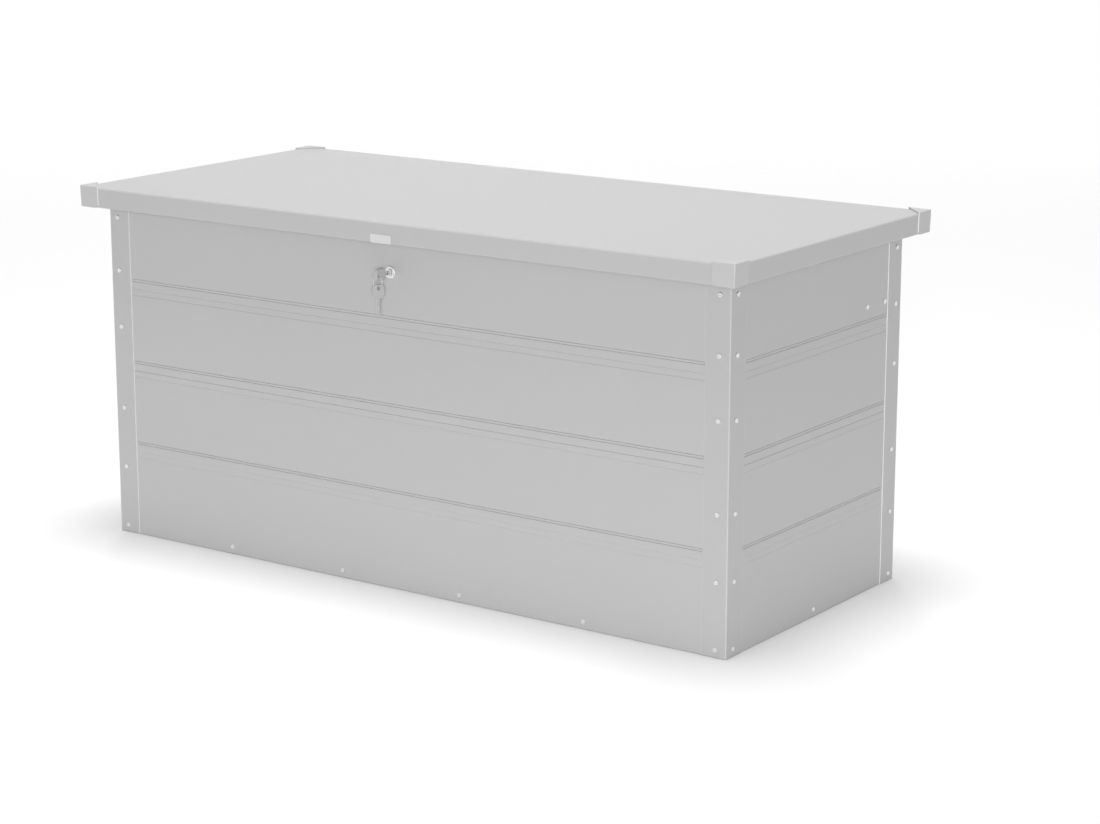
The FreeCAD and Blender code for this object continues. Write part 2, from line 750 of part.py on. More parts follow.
hinge_pins = []
for offset in hinge_places.values():
    start = FreeCAD.Vector(float(offset - cell("hinge_width") / 2), float(hinge_back), float(hinge_height))
    hinge_pins.append(
        Part.makeCylinder(number("hinge_pin_radius"), number("hinge_width"), start, FreeCAD.Vector(1, 0, 0))
    )
group("hinge_pins", hinge_pins)


# Fasteners. A screw's head lies on the outer face and its closed nut on the inner one.


def flat_face(points):
    return Part.Face(Part.makePolygon(points + points[:1]))


def prism(sides, foot_radius, top_radius, height):
    """A tapered prism on the ground plane, with flat faces and a corner half a step from X."""
    rings = []
    for radius, level in ((foot_radius, 0.0), (top_radius, height)):
        rings.append([FreeCAD.Vector(x, y, level) for x, y in round_points(0.0, 0.0, radius, sides)])
    foot, top = rings
    faces = [flat_face(foot[::-1]), flat_face(top)]
    for step in range(sides):
        after = (step + 1) % sides
        faces.append(flat_face([foot[step], foot[after], top[after], top[step]]))
    return Part.Solid(Part.Shell(faces))


HEAD_TAPER = 0.68
screw = prism(6, number("screw_radius"), number("screw_radius") * HEAD_TAPER, number("screw_height"))
nut_radius = number("nut_width") / 2 / math.cos(math.pi / 6)
nut = prism(6, nut_radius, nut_radius, number("nut_height"))
OUTWARDS = FreeCAD.Rotation(FreeCAD.Vector(1, 0, 0), 90)
INWARDS = FreeCAD.Rotation(FreeCAD.Vector(1, 0, 0), -90)
UPSIDE_DOWN = FreeCAD.Rotation(FreeCAD.Vector(1, 0, 0), 180)


def on_wall(shape, side, along, height, inset, way):
    """A fastener on a wall: along it, at a height, and inset from the body's outer face."""
    spot = FreeCAD.Vector(float(along), float(inset - REACH[side]), float(height))
    here = FreeCAD.Placement(spot, way)
    return shape.transformed(turned(TURNS[side]).multiply(here).toMatrix())


def fasteners(side):
    """Where one wall's fasteners are, as rows of along, height, the head's inset and the nut's."""
    column = SPAN[side] - cell("screw_edge")
    low = cell("floor_screw_height")
    on_floor = wall_back + cell("floor_gauge")
    on_rail = wall_back + cell("rail_gauge")
    rows = []
    for edge in (-column, column):
        rows.append((edge, low, as_size(0), on_floor))
        rows += [(edge, height, as_size(0), wall_back) for height in screw_heights]
        rows.append((edge, top_screw_height, as_size(0), on_rail))
    steps = (-1.5, -0.5, 0.5, 1.5) if side in ("front", "rear") else (0,)
    rows += [(floor_screw_pitch * step, low, wall_face, on_floor) for step in steps]
    if side in ("left", "right"):
        middle = strut_pivot_back * (1 if side == "right" else -1)
        for shift in (-0.5, 0.5):
            spot = middle + cell("strut_screw_pitch") * shift
            rows.append((spot, strut_pivot_height, wall_face, wall_back + cell("bracket_gauge")))
    return rows


screws = []
nuts = []
for side in TURNS:
    for along, height, head_inset, nut_inset in fasteners(side):
        screws.append(on_wall(screw, side, along, height, head_inset, OUTWARDS))
        nuts.append(on_wall(nut, side, along, height, nut_inset, INWARDS))

leaf_face = float(half_depth - wall_face + cell("hinge_gauge"))
rail_face = float(half_depth - wall_back - cell("rail_gauge"))
leaf_screw_height = float(hinge_height) - number("knuckle_radius") - number("hinge_leaf") / 2
lid_screw_back = float(rail_back)
lid_screw_level = float(brace_foot - cell("hinge_gauge"))
wall_leaf_screws = []
lid_leaf_screws = []
for offset in hinge_places.values():
    for step in (-1, 0, 1):
        across = float(offset) + step * number("hinge_width") / 3
        spot = FreeCAD.Vector(across, leaf_face, leaf_screw_height)
        wall_leaf_screws.append(screw.transformed(FreeCAD.Placement(spot, INWARDS).toMatrix()))
        rail_side = FreeCAD.Vector(across, rail_face, leaf_screw_height)
        nuts.append(nut.transformed(FreeCAD.Placement(rail_side, OUTWARDS).toMatrix()))
        spot = FreeCAD.Vector(across, lid_screw_back, lid_screw_level)
        lid_leaf_screws.append(screw.transformed(FreeCAD.Placement(spot, UPSIDE_DOWN).toMatrix()))

group("wall_screws", screws)
group("wall_nuts", nuts)
group("hinge_wall_screws", wall_leaf_screws)
group("hinge_lid_screws", lid_leaf_screws)


# Gas struts, one inside each end wall. A strut is drawn along X from its wall pivot, as it
# lies with the lid shut, and then swung to the lid pivot.
strut_run = float(strut_lid_back) - float(strut_pivot_back)
strut_rise = float(strut_lid_height) - float(strut_pivot_height)
strut_length = math.hypot(strut_run, strut_rise)
strut_angle = math.degrees(math.atan2(strut_rise, strut_run))
TUBE_START = 14
TUBE_END_ROOM = 22
SOCKET_NECK = 18
PISTON_START = 18
PISTON_LENGTH = 8
TUBE_END_WALL = 4
GUIDE_LENGTH = 7
EYE_SIDES = 10
tube_inside = cell("tube_radius") - cell("tube_wall")


def strut_place(side):
    """From the strut's own frame, with X along the rod and Z to the right, to the chest's."""
    plane = float(half_length - cell("strut_inset")) * (1 if side == "right" else -1)
    along, up, out = FreeCAD.Vector(0, 1, 0), FreeCAD.Vector(0, 0, 1), FreeCAD.Vector(1, 0, 0)
    upright = FreeCAD.Rotation(along, up, out, "ZXY")
    swung = FreeCAD.Rotation(FreeCAD.Vector(1, 0, 0), strut_angle).multiply(upright)
    base = FreeCAD.Vector(plane, float(strut_pivot_back), float(strut_pivot_height))
    return FreeCAD.Placement(base, swung)


def turned_profile(body, name, points):
    """A solid of revolution about the body's X axis, from points of distance and radius."""
    sketch = draw(new_sketch(body, name, "XY_Plane"), points)
    feature = body.newObject("PartDesign::Revolution", "Revolution")
    feature.Profile = sketch
    feature.ReferenceAxis = (sketch, ["H_Axis"])
    feature.Angle = 360
    doc.recompute()
    return feature


def eye(body, centre, neck_end):
    """An eye round a stud, with a neck of the same width that runs to neck_end."""
    radius, width = cell("strut_eye_radius"), cell("strut_eye_width")
    way = 1 if neck_end > centre else -1
    neck = width / 2
    start = 30.0 if way > 0 else -150.0
    outline = round_points(centre, 0, radius, EYE_SIDES, start, 300.0)
    outline += [(neck_end, neck * -way), (neck_end, neck * way)]
    pad(body, draw(new_sketch(body, "Eye", "XY_Plane"), outline), width, both_ways=True)
    bore = cell("stud_radius") + cell("running_fit")
    pocket(body, draw_circle(new_sketch(body, "Bore", "XY_Plane"), centre, 0, bore))


def strut_cylinder(side):
    """The tube with its closed end, guide and welded eye."""
    label = f"strut_cylinder_{side}"
    body = new_body(label)
    outer, inner = cell("tube_radius"), tube_inside
    bore = cell("rod_radius") + cell("running_fit")
    end = strut_length - TUBE_END_ROOM
    hollow = TUBE_START + TUBE_END_WALL
    turned_profile(
        body,
        "Tube",
        [
            (TUBE_START, 0), (TUBE_START, outer), (end, outer), (end, bore),
            (end - GUIDE_LENGTH, bore), (end - GUIDE_LENGTH, inner), (hollow, inner), (hollow, 0),
        ],
    )
    eye(body, 0, TUBE_START + TUBE_END_WALL / 2)
    keep(body, label, strut_place(side))


def strut_rod(side):
    """The rod with its piston."""
    label = f"strut_rod_{side}"
    body = new_body(label)
    rod, piston = cell("rod_radius"), tube_inside - fit
    end = strut_length - SOCKET_NECK
    shoulder = PISTON_START + PISTON_LENGTH
    start = PISTON_START + 1
    turned_profile(
        body,
        "Rod",
        [(start, 0), (start, piston), (shoulder, piston), (shoulder, rod), (end, rod), (end, 0)],
    )
    keep(body, label, strut_place(side))


def strut_socket(side):
    """The end fitting on the rod: a neck and an eye."""
    label = f"strut_socket_{side}"
    body = new_body(label)
    eye(body, strut_length, strut_length - SOCKET_NECK)
    keep(body, label, strut_place(side))


for side in ("left", "right"):
    strut_cylinder(side)
    strut_rod(side)
    strut_socket(side)


# The struts' brackets and studs. A stud is a shaft with a head at each end of the eye.
bracket_depth = cell("strut_inset") - wall_back - cell("strut_eye_width") / 2 - cell("strut_eye_radius") / 2
STUD_HEAD_HEIGHT = 2.0


def stud(start, length, back, height, right):
    """A stud that points at the middle of the chest, from its start, with a six-sided head at
    each end."""
    shaft = Part.makeCylinder(number("stud_radius"), length)
    head = prism(6, number("stud_head"), number("stud_head"), STUD_HEAD_HEIGHT)
    last = head.translated(FreeCAD.Vector(0, 0, length - STUD_HEAD_HEIGHT))
    whole = shaft.fuse([head, last]).removeSplitter()
    spot = place(start * right, back, height, (0, 1, 0), -90 * right)
    return whole.transformed(spot.toMatrix())


strut_plane = float(half_length - cell("strut_inset"))
eye_half = number("strut_eye_width") / 2
wall_stud_start = float(half_length - wall_back - bracket_depth)
wall_stud_end = strut_plane - eye_half - float(fit) - STUD_HEAD_HEIGHT
lid_stud_start = strut_plane + eye_half + float(fit) + STUD_HEAD_HEIGHT
lid_plate = lid_stud_start - number("strut_inset") / 2
wall_pivot = (float(strut_pivot_back), float(strut_pivot_height))
lid_pivot = (float(strut_lid_back), float(strut_lid_height))
group(
    "strut_wall_studs",
    [
        stud(wall_stud_start, wall_stud_start - wall_stud_end, *wall_pivot, right)
        for right in (-1, 1)
    ],
)
flange = (cell("strut_screw_pitch") - cell("bracket_crown")) / 2 + cell("screw_radius") * 2
for side, right in (("left", -1), ("right", 1)):
    lid_stud = stud(
        lid_stud_start, lid_stud_start - lid_plate - float(fit), *lid_pivot, right
    )
    group(f"strut_lid_stud_{side}", [lid_stud])
    spot = place(
        (half_length - wall_back - bracket_depth) * right, strut_pivot_back, strut_pivot_height, (0, 0, 1), 0
    )
    along, up, out = FreeCAD.Vector(0, 1, 0), FreeCAD.Vector(0, 0, right), FreeCAD.Vector(right, 0, 0)
    lying = FreeCAD.Rotation(along, up, out, "ZXY")
    hat_section(
        f"strut_wall_bracket_{side}", cell("bracket_crown"), flange, bracket_depth, cell("bracket_gauge"),
        cell("bracket_height"), FreeCAD.Placement(spot.Base, lying),
    )
    label = f"strut_lid_bracket_{side}"
    body = new_body(label)
    gauge, drop, foot = cell("bracket_gauge"), cell("lid_bracket_drop"), cell("lid_bracket_foot")
    outline = draw(
        new_sketch(body, "Profile", "XZ_Plane"),
        [(0, 0), (0, -drop), (-gauge, -drop), (-gauge, -gauge), (-foot, -gauge), (-foot, 0)],
    )
    pad(body, outline, cell("lid_bracket_length"), both_ways=True)
    half_turn = 0 if right > 0 else 180
    keep(body, label, turned(half_turn, lid_plate * right, strut_lid_back, lid_underside))


# Cam lock, drawn with Z out of the wall's face and Y up, and then laid into the front wall.
lock_place = place(lock_side, wall_face - half_depth, lock_height, (1, 0, 0), 90)
back_of_lock = -cell("lock_barrel_length")


def lock_barrel():
    body = new_body("lock_barrel")
    bore = cell("plug_radius") + cell("running_fit")
    barrel, bezel, nose = cell("lock_barrel_radius"), cell("lock_bezel_radius"), cell("lock_nose_radius")
    step, reach = cell("lock_bezel_height"), cell("lock_nose_reach")
    sketch = draw(
        new_sketch(body, "Profile", "XZ_Plane"),
        [
            (bore, back_of_lock), (barrel, back_of_lock), (barrel, 0), (bezel, 0),
            (bezel, step), (nose, step), (nose, reach), (bore, reach),
        ],
    )
    feature = body.newObject("PartDesign::Revolution", "Revolution")
    feature.Profile = sketch
    feature.ReferenceAxis = (sketch, ["V_Axis"])
    feature.Angle = 360
    doc.recompute()
    keep(body, "lock_barrel", lock_place)


def lock_plug():
    """The plug with its keyway, square tail and the screw that holds the cam."""
    body = new_body("lock_plug")
    reach, square = cell("lock_nose_reach"), cell("cam_square")
    start = new_sketch(body, "Round", "XY_Plane")
    draw_circle(start, 0, 0, cell("plug_radius"))
    pad(body, start, reach)
    barrel = new_sketch(body, "Barrel", "XY_Plane")
    draw_circle(barrel, 0, 0, cell("plug_radius"))
    pad(body, barrel, cell("lock_barrel_length"), reversed_way=True)
    tail = new_sketch(body, "Tail", "XY_Plane")
    half = square / 2
    draw(tail, rectangle(-half, half, -half, half))
    tail_length = cell("lock_barrel_length") + fit + cell("cam_gauge")
    pad(body, tail, tail_length, reversed_way=True)
    screw_head = new_sketch(body, "CamScrew", "XY_Plane")
    draw(screw_head, round_points(0, 0, cell("screw_radius"), 8))
    screw_head.AttachmentOffset = place(0, 0, -tail_length, (0, 0, 1), 0)
    pad(body, screw_head, cell("screw_height"), reversed_way=True)
    keyway = new_sketch(body, "Keyway", "XY_Plane")
    room = cell("blade_fit")
    half_x = cell("blade_thickness") / 2 + room
    half_y = cell("blade_width") / 2 + room
    draw(keyway, rectangle(-half_x, half_x, -half_y, half_y))
    keyway.AttachmentOffset = place(0, 0, reach, (0, 0, 1), 0)
    pocket(body, keyway, cell("blade_length") + room)
    keep(body, "lock_plug", lock_place)


lock_barrel()
lock_plug()

nut_blank = doc.addObject("Part::Prism", "lock_nut_blank")
nut_blank.Polygon = 6
bind(nut_blank, "Circumradius", cell("lock_nut_width") / 2 / math.cos(math.pi / 6))
bind(nut_blank, "Height", cell("lock_nut_height"))
nut_bore = cylinder(
    "lock_nut_bore", cell("lock_barrel_radius") + cell("running_fit"), cell("lock_nut_height"), turned(0)
)
lock_nut = cut(nut_blank, nut_bore)
nut_level = wall_face + cell("wall_gauge") + cell("lock_nut_height") - half_depth
keep(lock_nut, "lock_nut", place(lock_side, nut_level, lock_height, (1, 0, 0), 90))

cam_gauge = cell("cam_gauge")
cam_back = cell("lock_barrel_length") + fit + cam_gauge


def lock_cam():
    """A flat bar with rounded ends and a square hole for the plug's tail."""
    body = new_body("lock_cam")
    radius = cell("cam_width") / 2
    outline = round_points(0, 0, radius, 6, 180.0, 180.0)
    outline += round_points(0, cell("cam_length") - radius, radius, 6, 0.0, 180.0)
    pad(body, draw(new_sketch(body, "Bar", "XY_Plane"), outline), cam_gauge)
    half = cell("cam_square") / 2 + cell("running_fit")
    pocket(body, draw(new_sketch(body, "Square", "XY_Plane"), rectangle(-half, half, -half, half)))
    keep(body, "lock_cam", place(lock_side, cam_back + wall_face - half_depth, lock_height, (1, 0, 0), 90))


lock_cam()


def lock_catch():
    """The bracket under the lid whose ledge the cam holds down."""
    body = new_body("lock_catch")
    gauge = cell("catch_gauge")
    cam_rear = cam_back + wall_face - half_depth
    plate = cam_rear + cell("screw_height")
    front = plate + gauge - cell("catch_ledge")
    ledge = lock_height - cell("cam_width") / 2 - cell("catch_room")
    outline = [
        (front, ledge - gauge), (plate + gauge, ledge - gauge), (plate + gauge, lid_underside - gauge),
        (plate + cell("catch_foot"), lid_underside - gauge), (plate + cell("catch_foot"), lid_underside),
        (plate, lid_underside), (plate, ledge), (front, ledge),
    ]
    sketch = draw(new_sketch(body, "Profile", "YZ_Plane"), outline)
    pad(body, sketch, cell("catch_width"), both_ways=True)
    keep(body, "lock_catch", turned(0, lock_side + cell("catch_centre")))


lock_catch()


# Keys, drawn with the hole's centre at the origin and the blade along -Z. The spare one hangs
# turned a little to the front.
SPARE_TURN = -25


def key(label, placement):
    body = new_body(label)
    half = cell("key_head_width") / 2
    top = cell("key_hole_inset")
    foot = top - cell("key_head_length")
    bend = cell("key_head_round")
    outline = []
    for start, x, y in ((0, half - bend, top - bend), (90, bend - half, top - bend),
                        (180, bend - half, foot + bend), (270, half - bend, foot + bend)):
        outline += round_points(x, y, bend, 3, start, 90.0)
    pad(body, draw(new_sketch(body, "Head", "YZ_Plane"), outline), cell("key_thickness"), both_ways=True)
    blade_half = cell("blade_width") / 2
    blade = new_sketch(body, "Blade", "YZ_Plane")
    draw(blade, rectangle(-blade_half, blade_half, foot - cell("blade_length"), foot + top))
    pad(body, blade, cell("blade_thickness"), both_ways=True)
    pocket(body, draw_circle(new_sketch(body, "Hole", "YZ_Plane"), 0, 0, cell("key_hole_radius")))
    keep(body, label, placement)


head_reach = cell("lock_nose_reach") + cell("key_neck") + cell("key_head_length") - cell("key_hole_inset")
key_back = wall_face - half_depth - head_reach
key("key", place(lock_side, key_back, lock_height, (1, 0, 0), 90))
wire_sag = cell("key_hole_radius") - cell("ring_wire") - cell("ring_room")
ring_height = lock_height - wire_sag - cell("ring_radius")
spare_height = ring_height - cell("ring_radius") - wire_sag


def faceted_ring(radius, wire, steps, sides):
    """A ring of flat faces round Z: a many-sided wire carried round a many-sided loop."""
    grid = []
    for turn in range(steps):
        way = 2 * math.pi * turn / steps
        section = round_points(radius, 0.0, wire, sides)
        grid.append([FreeCAD.Vector(out * math.cos(way), out * math.sin(way), up) for out, up in section])
    faces = []
    for turn in range(steps):
        here, there = grid[turn], grid[(turn + 1) % steps]
        for side in range(sides):
            after = (side + 1) % sides
            faces.append(flat_face([here[side], there[side], there[after], here[after]]))
    return Part.Solid(Part.Shell(faces))


ring = faceted_ring(number("ring_radius"), number("ring_wire"), 24, 6)
group("key_ring", [ring], place(lock_side, key_back, ring_height, (1, 0, 0), 90))
key("spare_key", turned(SPARE_TURN, lock_side, key_back, spare_height))


# The bare plate on the lid's front rim.
plate = box(
    "label_plate",
    -(cell("plate_length") / 2), -(lid_half_depth + cell("plate_gauge")), rim_bottom + cell("plate_rise"),
    cell("plate_length"), cell("plate_gauge"), cell("plate_height"),
)
keep(plate, "label_plate")


def export():
    """Checks every object and every piece, then writes one file for each piece."""
    doc.recompute()
    failed = [item.Label for item in doc.Objects if "Invalid" in item.State or "Error" in item.State]
    if failed:
        raise RuntimeError(f"failed objects: {failed}")
    os.makedirs("parts", exist_ok=True)
    for piece in pieces:
        if piece.Shape.isNull() or not piece.Shape.isValid():
            raise RuntimeError(f"{piece.Label}: no valid shape")
    for piece in pieces:
        piece.Shape.exportStep(os.path.join("parts", f"{piece.Label}.step"))


export()
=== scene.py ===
import json
import math

import bpy
import numpy as np
from mathutils import Matrix, Vector


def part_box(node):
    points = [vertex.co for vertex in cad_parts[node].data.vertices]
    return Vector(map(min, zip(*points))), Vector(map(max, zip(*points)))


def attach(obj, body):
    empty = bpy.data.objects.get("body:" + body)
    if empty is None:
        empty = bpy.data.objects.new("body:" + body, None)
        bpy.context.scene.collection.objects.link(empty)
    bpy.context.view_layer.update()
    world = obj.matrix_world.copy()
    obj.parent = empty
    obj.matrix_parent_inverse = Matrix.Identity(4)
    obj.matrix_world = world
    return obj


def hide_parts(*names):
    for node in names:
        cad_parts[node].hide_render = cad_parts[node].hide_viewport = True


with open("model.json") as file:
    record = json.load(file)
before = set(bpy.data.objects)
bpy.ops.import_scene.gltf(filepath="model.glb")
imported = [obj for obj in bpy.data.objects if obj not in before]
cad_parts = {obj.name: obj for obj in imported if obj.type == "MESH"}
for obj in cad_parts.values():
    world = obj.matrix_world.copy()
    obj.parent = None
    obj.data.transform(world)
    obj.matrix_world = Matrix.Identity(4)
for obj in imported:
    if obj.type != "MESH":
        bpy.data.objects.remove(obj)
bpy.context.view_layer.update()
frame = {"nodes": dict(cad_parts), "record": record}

# Lengths of the garden chest in metres, the same as in its solids. X runs to the right, Y to the
# back and Z up.
HALF_LENGTH = 0.630
HALF_DEPTH = 0.265
WALL_TOP = 0.6044
WALL_GAUGE = 0.0006
POST_GAUGE = 0.001
POST_LEG = 0.044
BAND_FEET = (0.138, 0.283, 0.428)
LID_HALF_LENGTH = 0.6575
LID_HALF_DEPTH = 0.3025
LID_GAUGE = 0.0008
LID_TOP = 0.6175
RIM_BOTTOM = 0.583
CAP_TOP = 0.620
CAP_LEG = 0.041
CAP_PROUD = 0.0025
PLATE = (-0.021, 0.021, 0.5835, 0.598)
LOCK_SIDE = -0.012
LOCK_HEIGHT = 0.530
LOCK_FACE = -0.264
KEY_BACK = -0.2967
SPARE_TURN = -25
SPARE_HEIGHT = 0.5092
RING_HEIGHT = 0.5196
HINGE_X = 0.430
HINGE_AXIS = (0.2695, 0.584)
STRUT_X = 0.596
PIVOT = np.array([0.182, 0.479])
LID_PIVOT = np.array([-0.005, 0.604])

# Each wall: the turn that brings it round from the front, how far out it stands, and half its run.
WALLS = {
    "front": (0, HALF_DEPTH, HALF_LENGTH),
    "right": (90, HALF_LENGTH, HALF_DEPTH),
    "rear": (180, HALF_DEPTH, HALF_LENGTH),
    "left": (270, HALF_LENGTH, HALF_DEPTH),
}
CORNERS = {"front_left": (-1, -1), "front_right": (1, -1), "rear_right": (1, 1), "rear_left": (-1, 1)}
SIDES = {"left": -1, "right": 1}


# Shapes. Each one is worked out as whole arrays of points and then made a mesh.


def dress(name, shape, body, look, node, sharp=35.0, places=None, even=True):
    """A mesh in the place of a solid, which rides on a body: one shape, or a copy at each place,
    smooth up to the sharp angle. Its faces are turned outwards, so that the volume summed over
    its triangles is positive."""
    points, faces = many(shape, places) if places else shape
    material, slot = look
    mesh = bpy.data.meshes.new(name)
    mesh.from_pydata(points.reshape(-1, 3).tolist(), [], faces)
    mesh.validate()
    mesh.calc_loop_triangles()
    corners = np.empty(len(mesh.loop_triangles) * 3, int)
    mesh.loop_triangles.foreach_get("vertices", corners)
    spots = np.empty(len(mesh.vertices) * 3)
    mesh.vertices.foreach_get("co", spots)
    first, second, third = spots.reshape(-1, 3)[corners.reshape(-1, 3)].transpose(1, 0, 2)
    if (first * np.cross(second, third)).sum() < 0:
        mesh.flip_normals()
    mesh.shade_smooth()
    mesh.set_sharp_from_angle(angle=math.radians(sharp))
    mesh.materials.append(material)
    piece = in_scene(name, mesh)
    if even:
        weigh = piece.modifiers.new("even_flats", "WEIGHTED_NORMAL")
        weigh.keep_sharp = True
        weigh.weight = 100
    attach(piece, body)
    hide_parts(node)


def in_scene(name, data):
    thing = bpy.data.objects.new(name, data)
    bpy.context.scene.collection.objects.link(thing)
    return thing


def aim(thing, place, way):
    """A lamp or camera at a place that looks a given way."""
    thing.rotation_mode = "QUATERNION"
    thing.rotation_quaternion = way.to_track_quat("-Z", "Y")
    thing.location = place


def full_turn(count):
    return np.linspace(0, 2 * math.pi, count, endpoint=False)


def pairs(first, second):
    return np.stack([first, second], axis=-1)


def polar(angle, radius=1.0):
    """The points (radius cos angle, radius sin angle)."""
    return pairs(radius * np.cos(angle), radius * np.sin(angle))


def superloop(angle, half_x, half_y, power=2.0):
    """A loop round the origin from an ellipse at power 2 to nearly a rectangle at high powers."""
    return polar(angle, (np.abs(np.cos(angle) / half_x) ** power
                         + np.abs(np.sin(angle) / half_y) ** power) ** (-1 / power))


def grid_faces(rows, columns, around_rows=False, around_columns=False):
    """Four-sided faces between the points of a grid, closed round either way if asked."""
    last_row = rows if around_rows else rows - 1
    last_column = columns if around_columns else columns - 1
    row, column = np.meshgrid(np.arange(last_row), np.arange(last_column), indexing="ij")
    after_row = (row + 1) % rows
    after_column = (column + 1) % columns
    corners = (row * columns + column, row * columns + after_column,
               after_row * columns + after_column, after_row * columns + column)
    return np.stack(corners, axis=-1).reshape(-1, 4).tolist()


def rings(points, closed=False):
    """Loops of points, each joined to the next: a ring that comes back to its first loop, or a
    solid with a face at both ends."""
    count, around = points.shape[:2]
    faces = grid_faces(count, around, around_rows=closed, around_columns=True)
    if not closed:
        faces += [list(range(around))[::-1], list(range((count - 1) * around, count * around))]
    return points, faces


def layered(rows, closed=False):
    """Loops (x, y), each at its level or with a level for each point, joined in turn."""
    return rings(np.stack([np.column_stack([loop, np.broadcast_to(level, len(loop))])
                           for loop, level in rows]), closed)


def across(outline, stations, trim=lambda loop, x: loop):
    """An outline (y, z) carried along X, with a trim that may move its points at each station."""
    rows = []
    for x in stations:
        loop = trim(outline, x)
        rows.append(np.column_stack([np.full(len(loop), x), loop]))
    return rings(np.stack(rows))


def both_ways(reaches):
    """Stations from far left to far right, from reaches that grow from the middle outwards."""
    return np.concatenate([-np.asarray(reaches)[::-1], reaches])


def plate(outline, half, radius, *tips):
    """An outline (y, z) carried along X as a plate with rounded corners. Each tip is an end of the
    outline: its axis, 0 or 1, the level past which points belong to it, and 1 or -1, the way it
    draws back. Within the radius of the plate's sides it draws back along a quarter circle."""
    def trim(points, x):
        inside = max(0.0, abs(x) - (half - radius))
        back = radius - math.sqrt(max(radius ** 2 - inside ** 2, 0.0))
        points = points.copy()
        for axis, level, way in tips:
            points[(points[:, axis] - level) * way < 0, axis] += way * back
        return points

    bend = radius * np.sin(np.linspace(0, math.pi / 2 * 0.98, 8))
    return across(outline, both_ways(half - radius + bend), trim)


def lathe(profile, sides, closed=False):
    """A surface of revolution about Z: each point (r, z) of the profile goes round as
    (r cos a, r sin a, z). A closed profile makes a ring, such as an eye or a bushing."""
    circle = polar(full_turn(sides))
    return layered([(circle * radius, height) for radius, height in profile], closed)


def turned_solid(corners, radius, steps, sides):
    """A solid of revolution whose profile has its corners rounded."""
    return lathe(rounded_path(corners, radius, steps), sides)


def tube(path, radius, sides):
    """A round tube: at each path point a circle stands across the path, in a frame that is
    carried along without twisting."""
    ahead = np.gradient(path, axis=0)
    ahead /= np.linalg.norm(ahead, axis=1, keepdims=True)
    normals = [np.cross(ahead[0], [0.3, 0.5, 0.81])]
    for way in ahead[1:]:
        normals.append(normals[-1] - way * (normals[-1] @ way))
    normal = np.array(normals)
    normal /= np.linalg.norm(normal, axis=1, keepdims=True)
    side = np.cross(ahead, normal)
    angle = full_turn(sides)[:, None]
    return rings(path[:, None] + (normal[:, None] * np.cos(angle) + side[:, None] * np.sin(angle)) * radius)


def rounded_path(corners, radius, steps):
    """A path through corners in which each bend is an arc that touches both straight runs:
    the arc starts radius * tan(half the turn) before the corner, or less where a run is short."""
    corners = np.asarray(corners, float)
    path = [corners[0]]
    for before, corner, after in zip(corners[:-2], corners[1:-1], corners[2:]):
        arrive = (corner - before) / np.linalg.norm(corner - before)
        leave = (after - corner) / np.linalg.norm(after - corner)
        turn = math.atan2(arrive[0] * leave[1] - arrive[1] * leave[0], float(arrive @ leave))
        if abs(turn) < 1e-6:
            path.append(corner)
            continue
        shortest = min(np.linalg.norm(corner - before), np.linalg.norm(after - corner))
        reach = min(radius * math.tan(abs(turn) / 2), 0.45 * shortest)
        bend = reach / math.tan(abs(turn) / 2)
        centre = corner - arrive * reach + math.copysign(bend, turn) * np.array([-arrive[1], arrive[0]])
        spoke = corner - arrive * reach - centre
        c, s = np.cos(np.linspace(0.0, turn, steps)), np.sin(np.linspace(0.0, turn, steps))
        path.extend(centre + pairs(c * spoke[0] - s * spoke[1], s * spoke[0] + c * spoke[1]))
    path.append(corners[-1])
    return np.array(path)


def sheet_outline(path, gauge):
    """A closed outline of even thickness about a path: half the gauge to each side along the
    path's own normals, with the bends' normals halved between the two runs."""
    runs = np.diff(path, axis=0)
    runs /= np.linalg.norm(runs, axis=1, keepdims=True)
    after = np.vstack([runs, runs[-1:]])
    along = np.vstack([runs[:1], runs]) + after
    along /= np.linalg.norm(along, axis=1, keepdims=True)
    stretch = 1.0 / np.maximum((along * after).sum(axis=1, keepdims=True), 0.5)
    normal = pairs(-along[:, 1], along[:, 0]) * stretch * gauge / 2
    return np.vstack([path + normal, (path - normal)[::-1]])


def about_z(shape, degrees):
    """A shape turned about the upright axis."""
    c, s = math.cos(math.radians(degrees)), math.sin(math.radians(degrees))
    return shape[0] @ np.array([[c, s, 0], [-s, c, 0], [0, 0, 1]]), shape[1]


def shell(outer, inner):
    """The two faces of a sheet, given as grids of points, joined round their edges."""
    loops = np.concatenate([outer, inner[:, ::-1]], axis=1)
    count, around = loops.shape[:2]
    step = np.arange(outer.shape[1] - 1)
    strip = np.stack([step, step + 1, around - 2 - step, around - 1 - step], axis=-1)
    faces = grid_faces(count, around, around_columns=True)
    return loops, faces + strip[:, ::-1].tolist() + (strip + (count - 1) * around).tolist()


def many(shape, places):
    """Copies of one shape: the same points under each placement, as one list of points and faces."""
    points, faces = shape
    points = points.reshape(-1, 3)
    return joined(*((points @ np.array(place.to_3x3()).T + np.array(place.translation), faces) for place in places))


def joined(*shapes):
    """Several shapes as one list of points and faces."""
    points = []
    faces = []
    count = 0
    for some_points, some_faces in shapes:
        points.append(some_points.reshape(-1, 3))
        faces.extend([[corner + count for corner in face] for face in some_faces])
        count += len(points[-1])
    return np.vstack(points), faces


def axes(x_way, z_way, place):
    """A placement from where its X and Z point."""
    x_way, z_way = Vector(x_way).normalized(), Vector(z_way).normalized()
    return Matrix.Translation(place) @ Matrix((x_way, z_way.cross(x_way), z_way)).transposed().to_4x4()


def facing(place, towards):
    """A placement whose Z points a given way."""
    return Matrix.Translation(place) @ Vector(towards).to_track_quat("Z", "Y").to_matrix().to_4x4()


def turned(degrees, axis):
    return Matrix.Rotation(math.radians(degrees), 4, axis)


# Finishes. Wave carries a socket, so that shader arithmetic reads as Python.


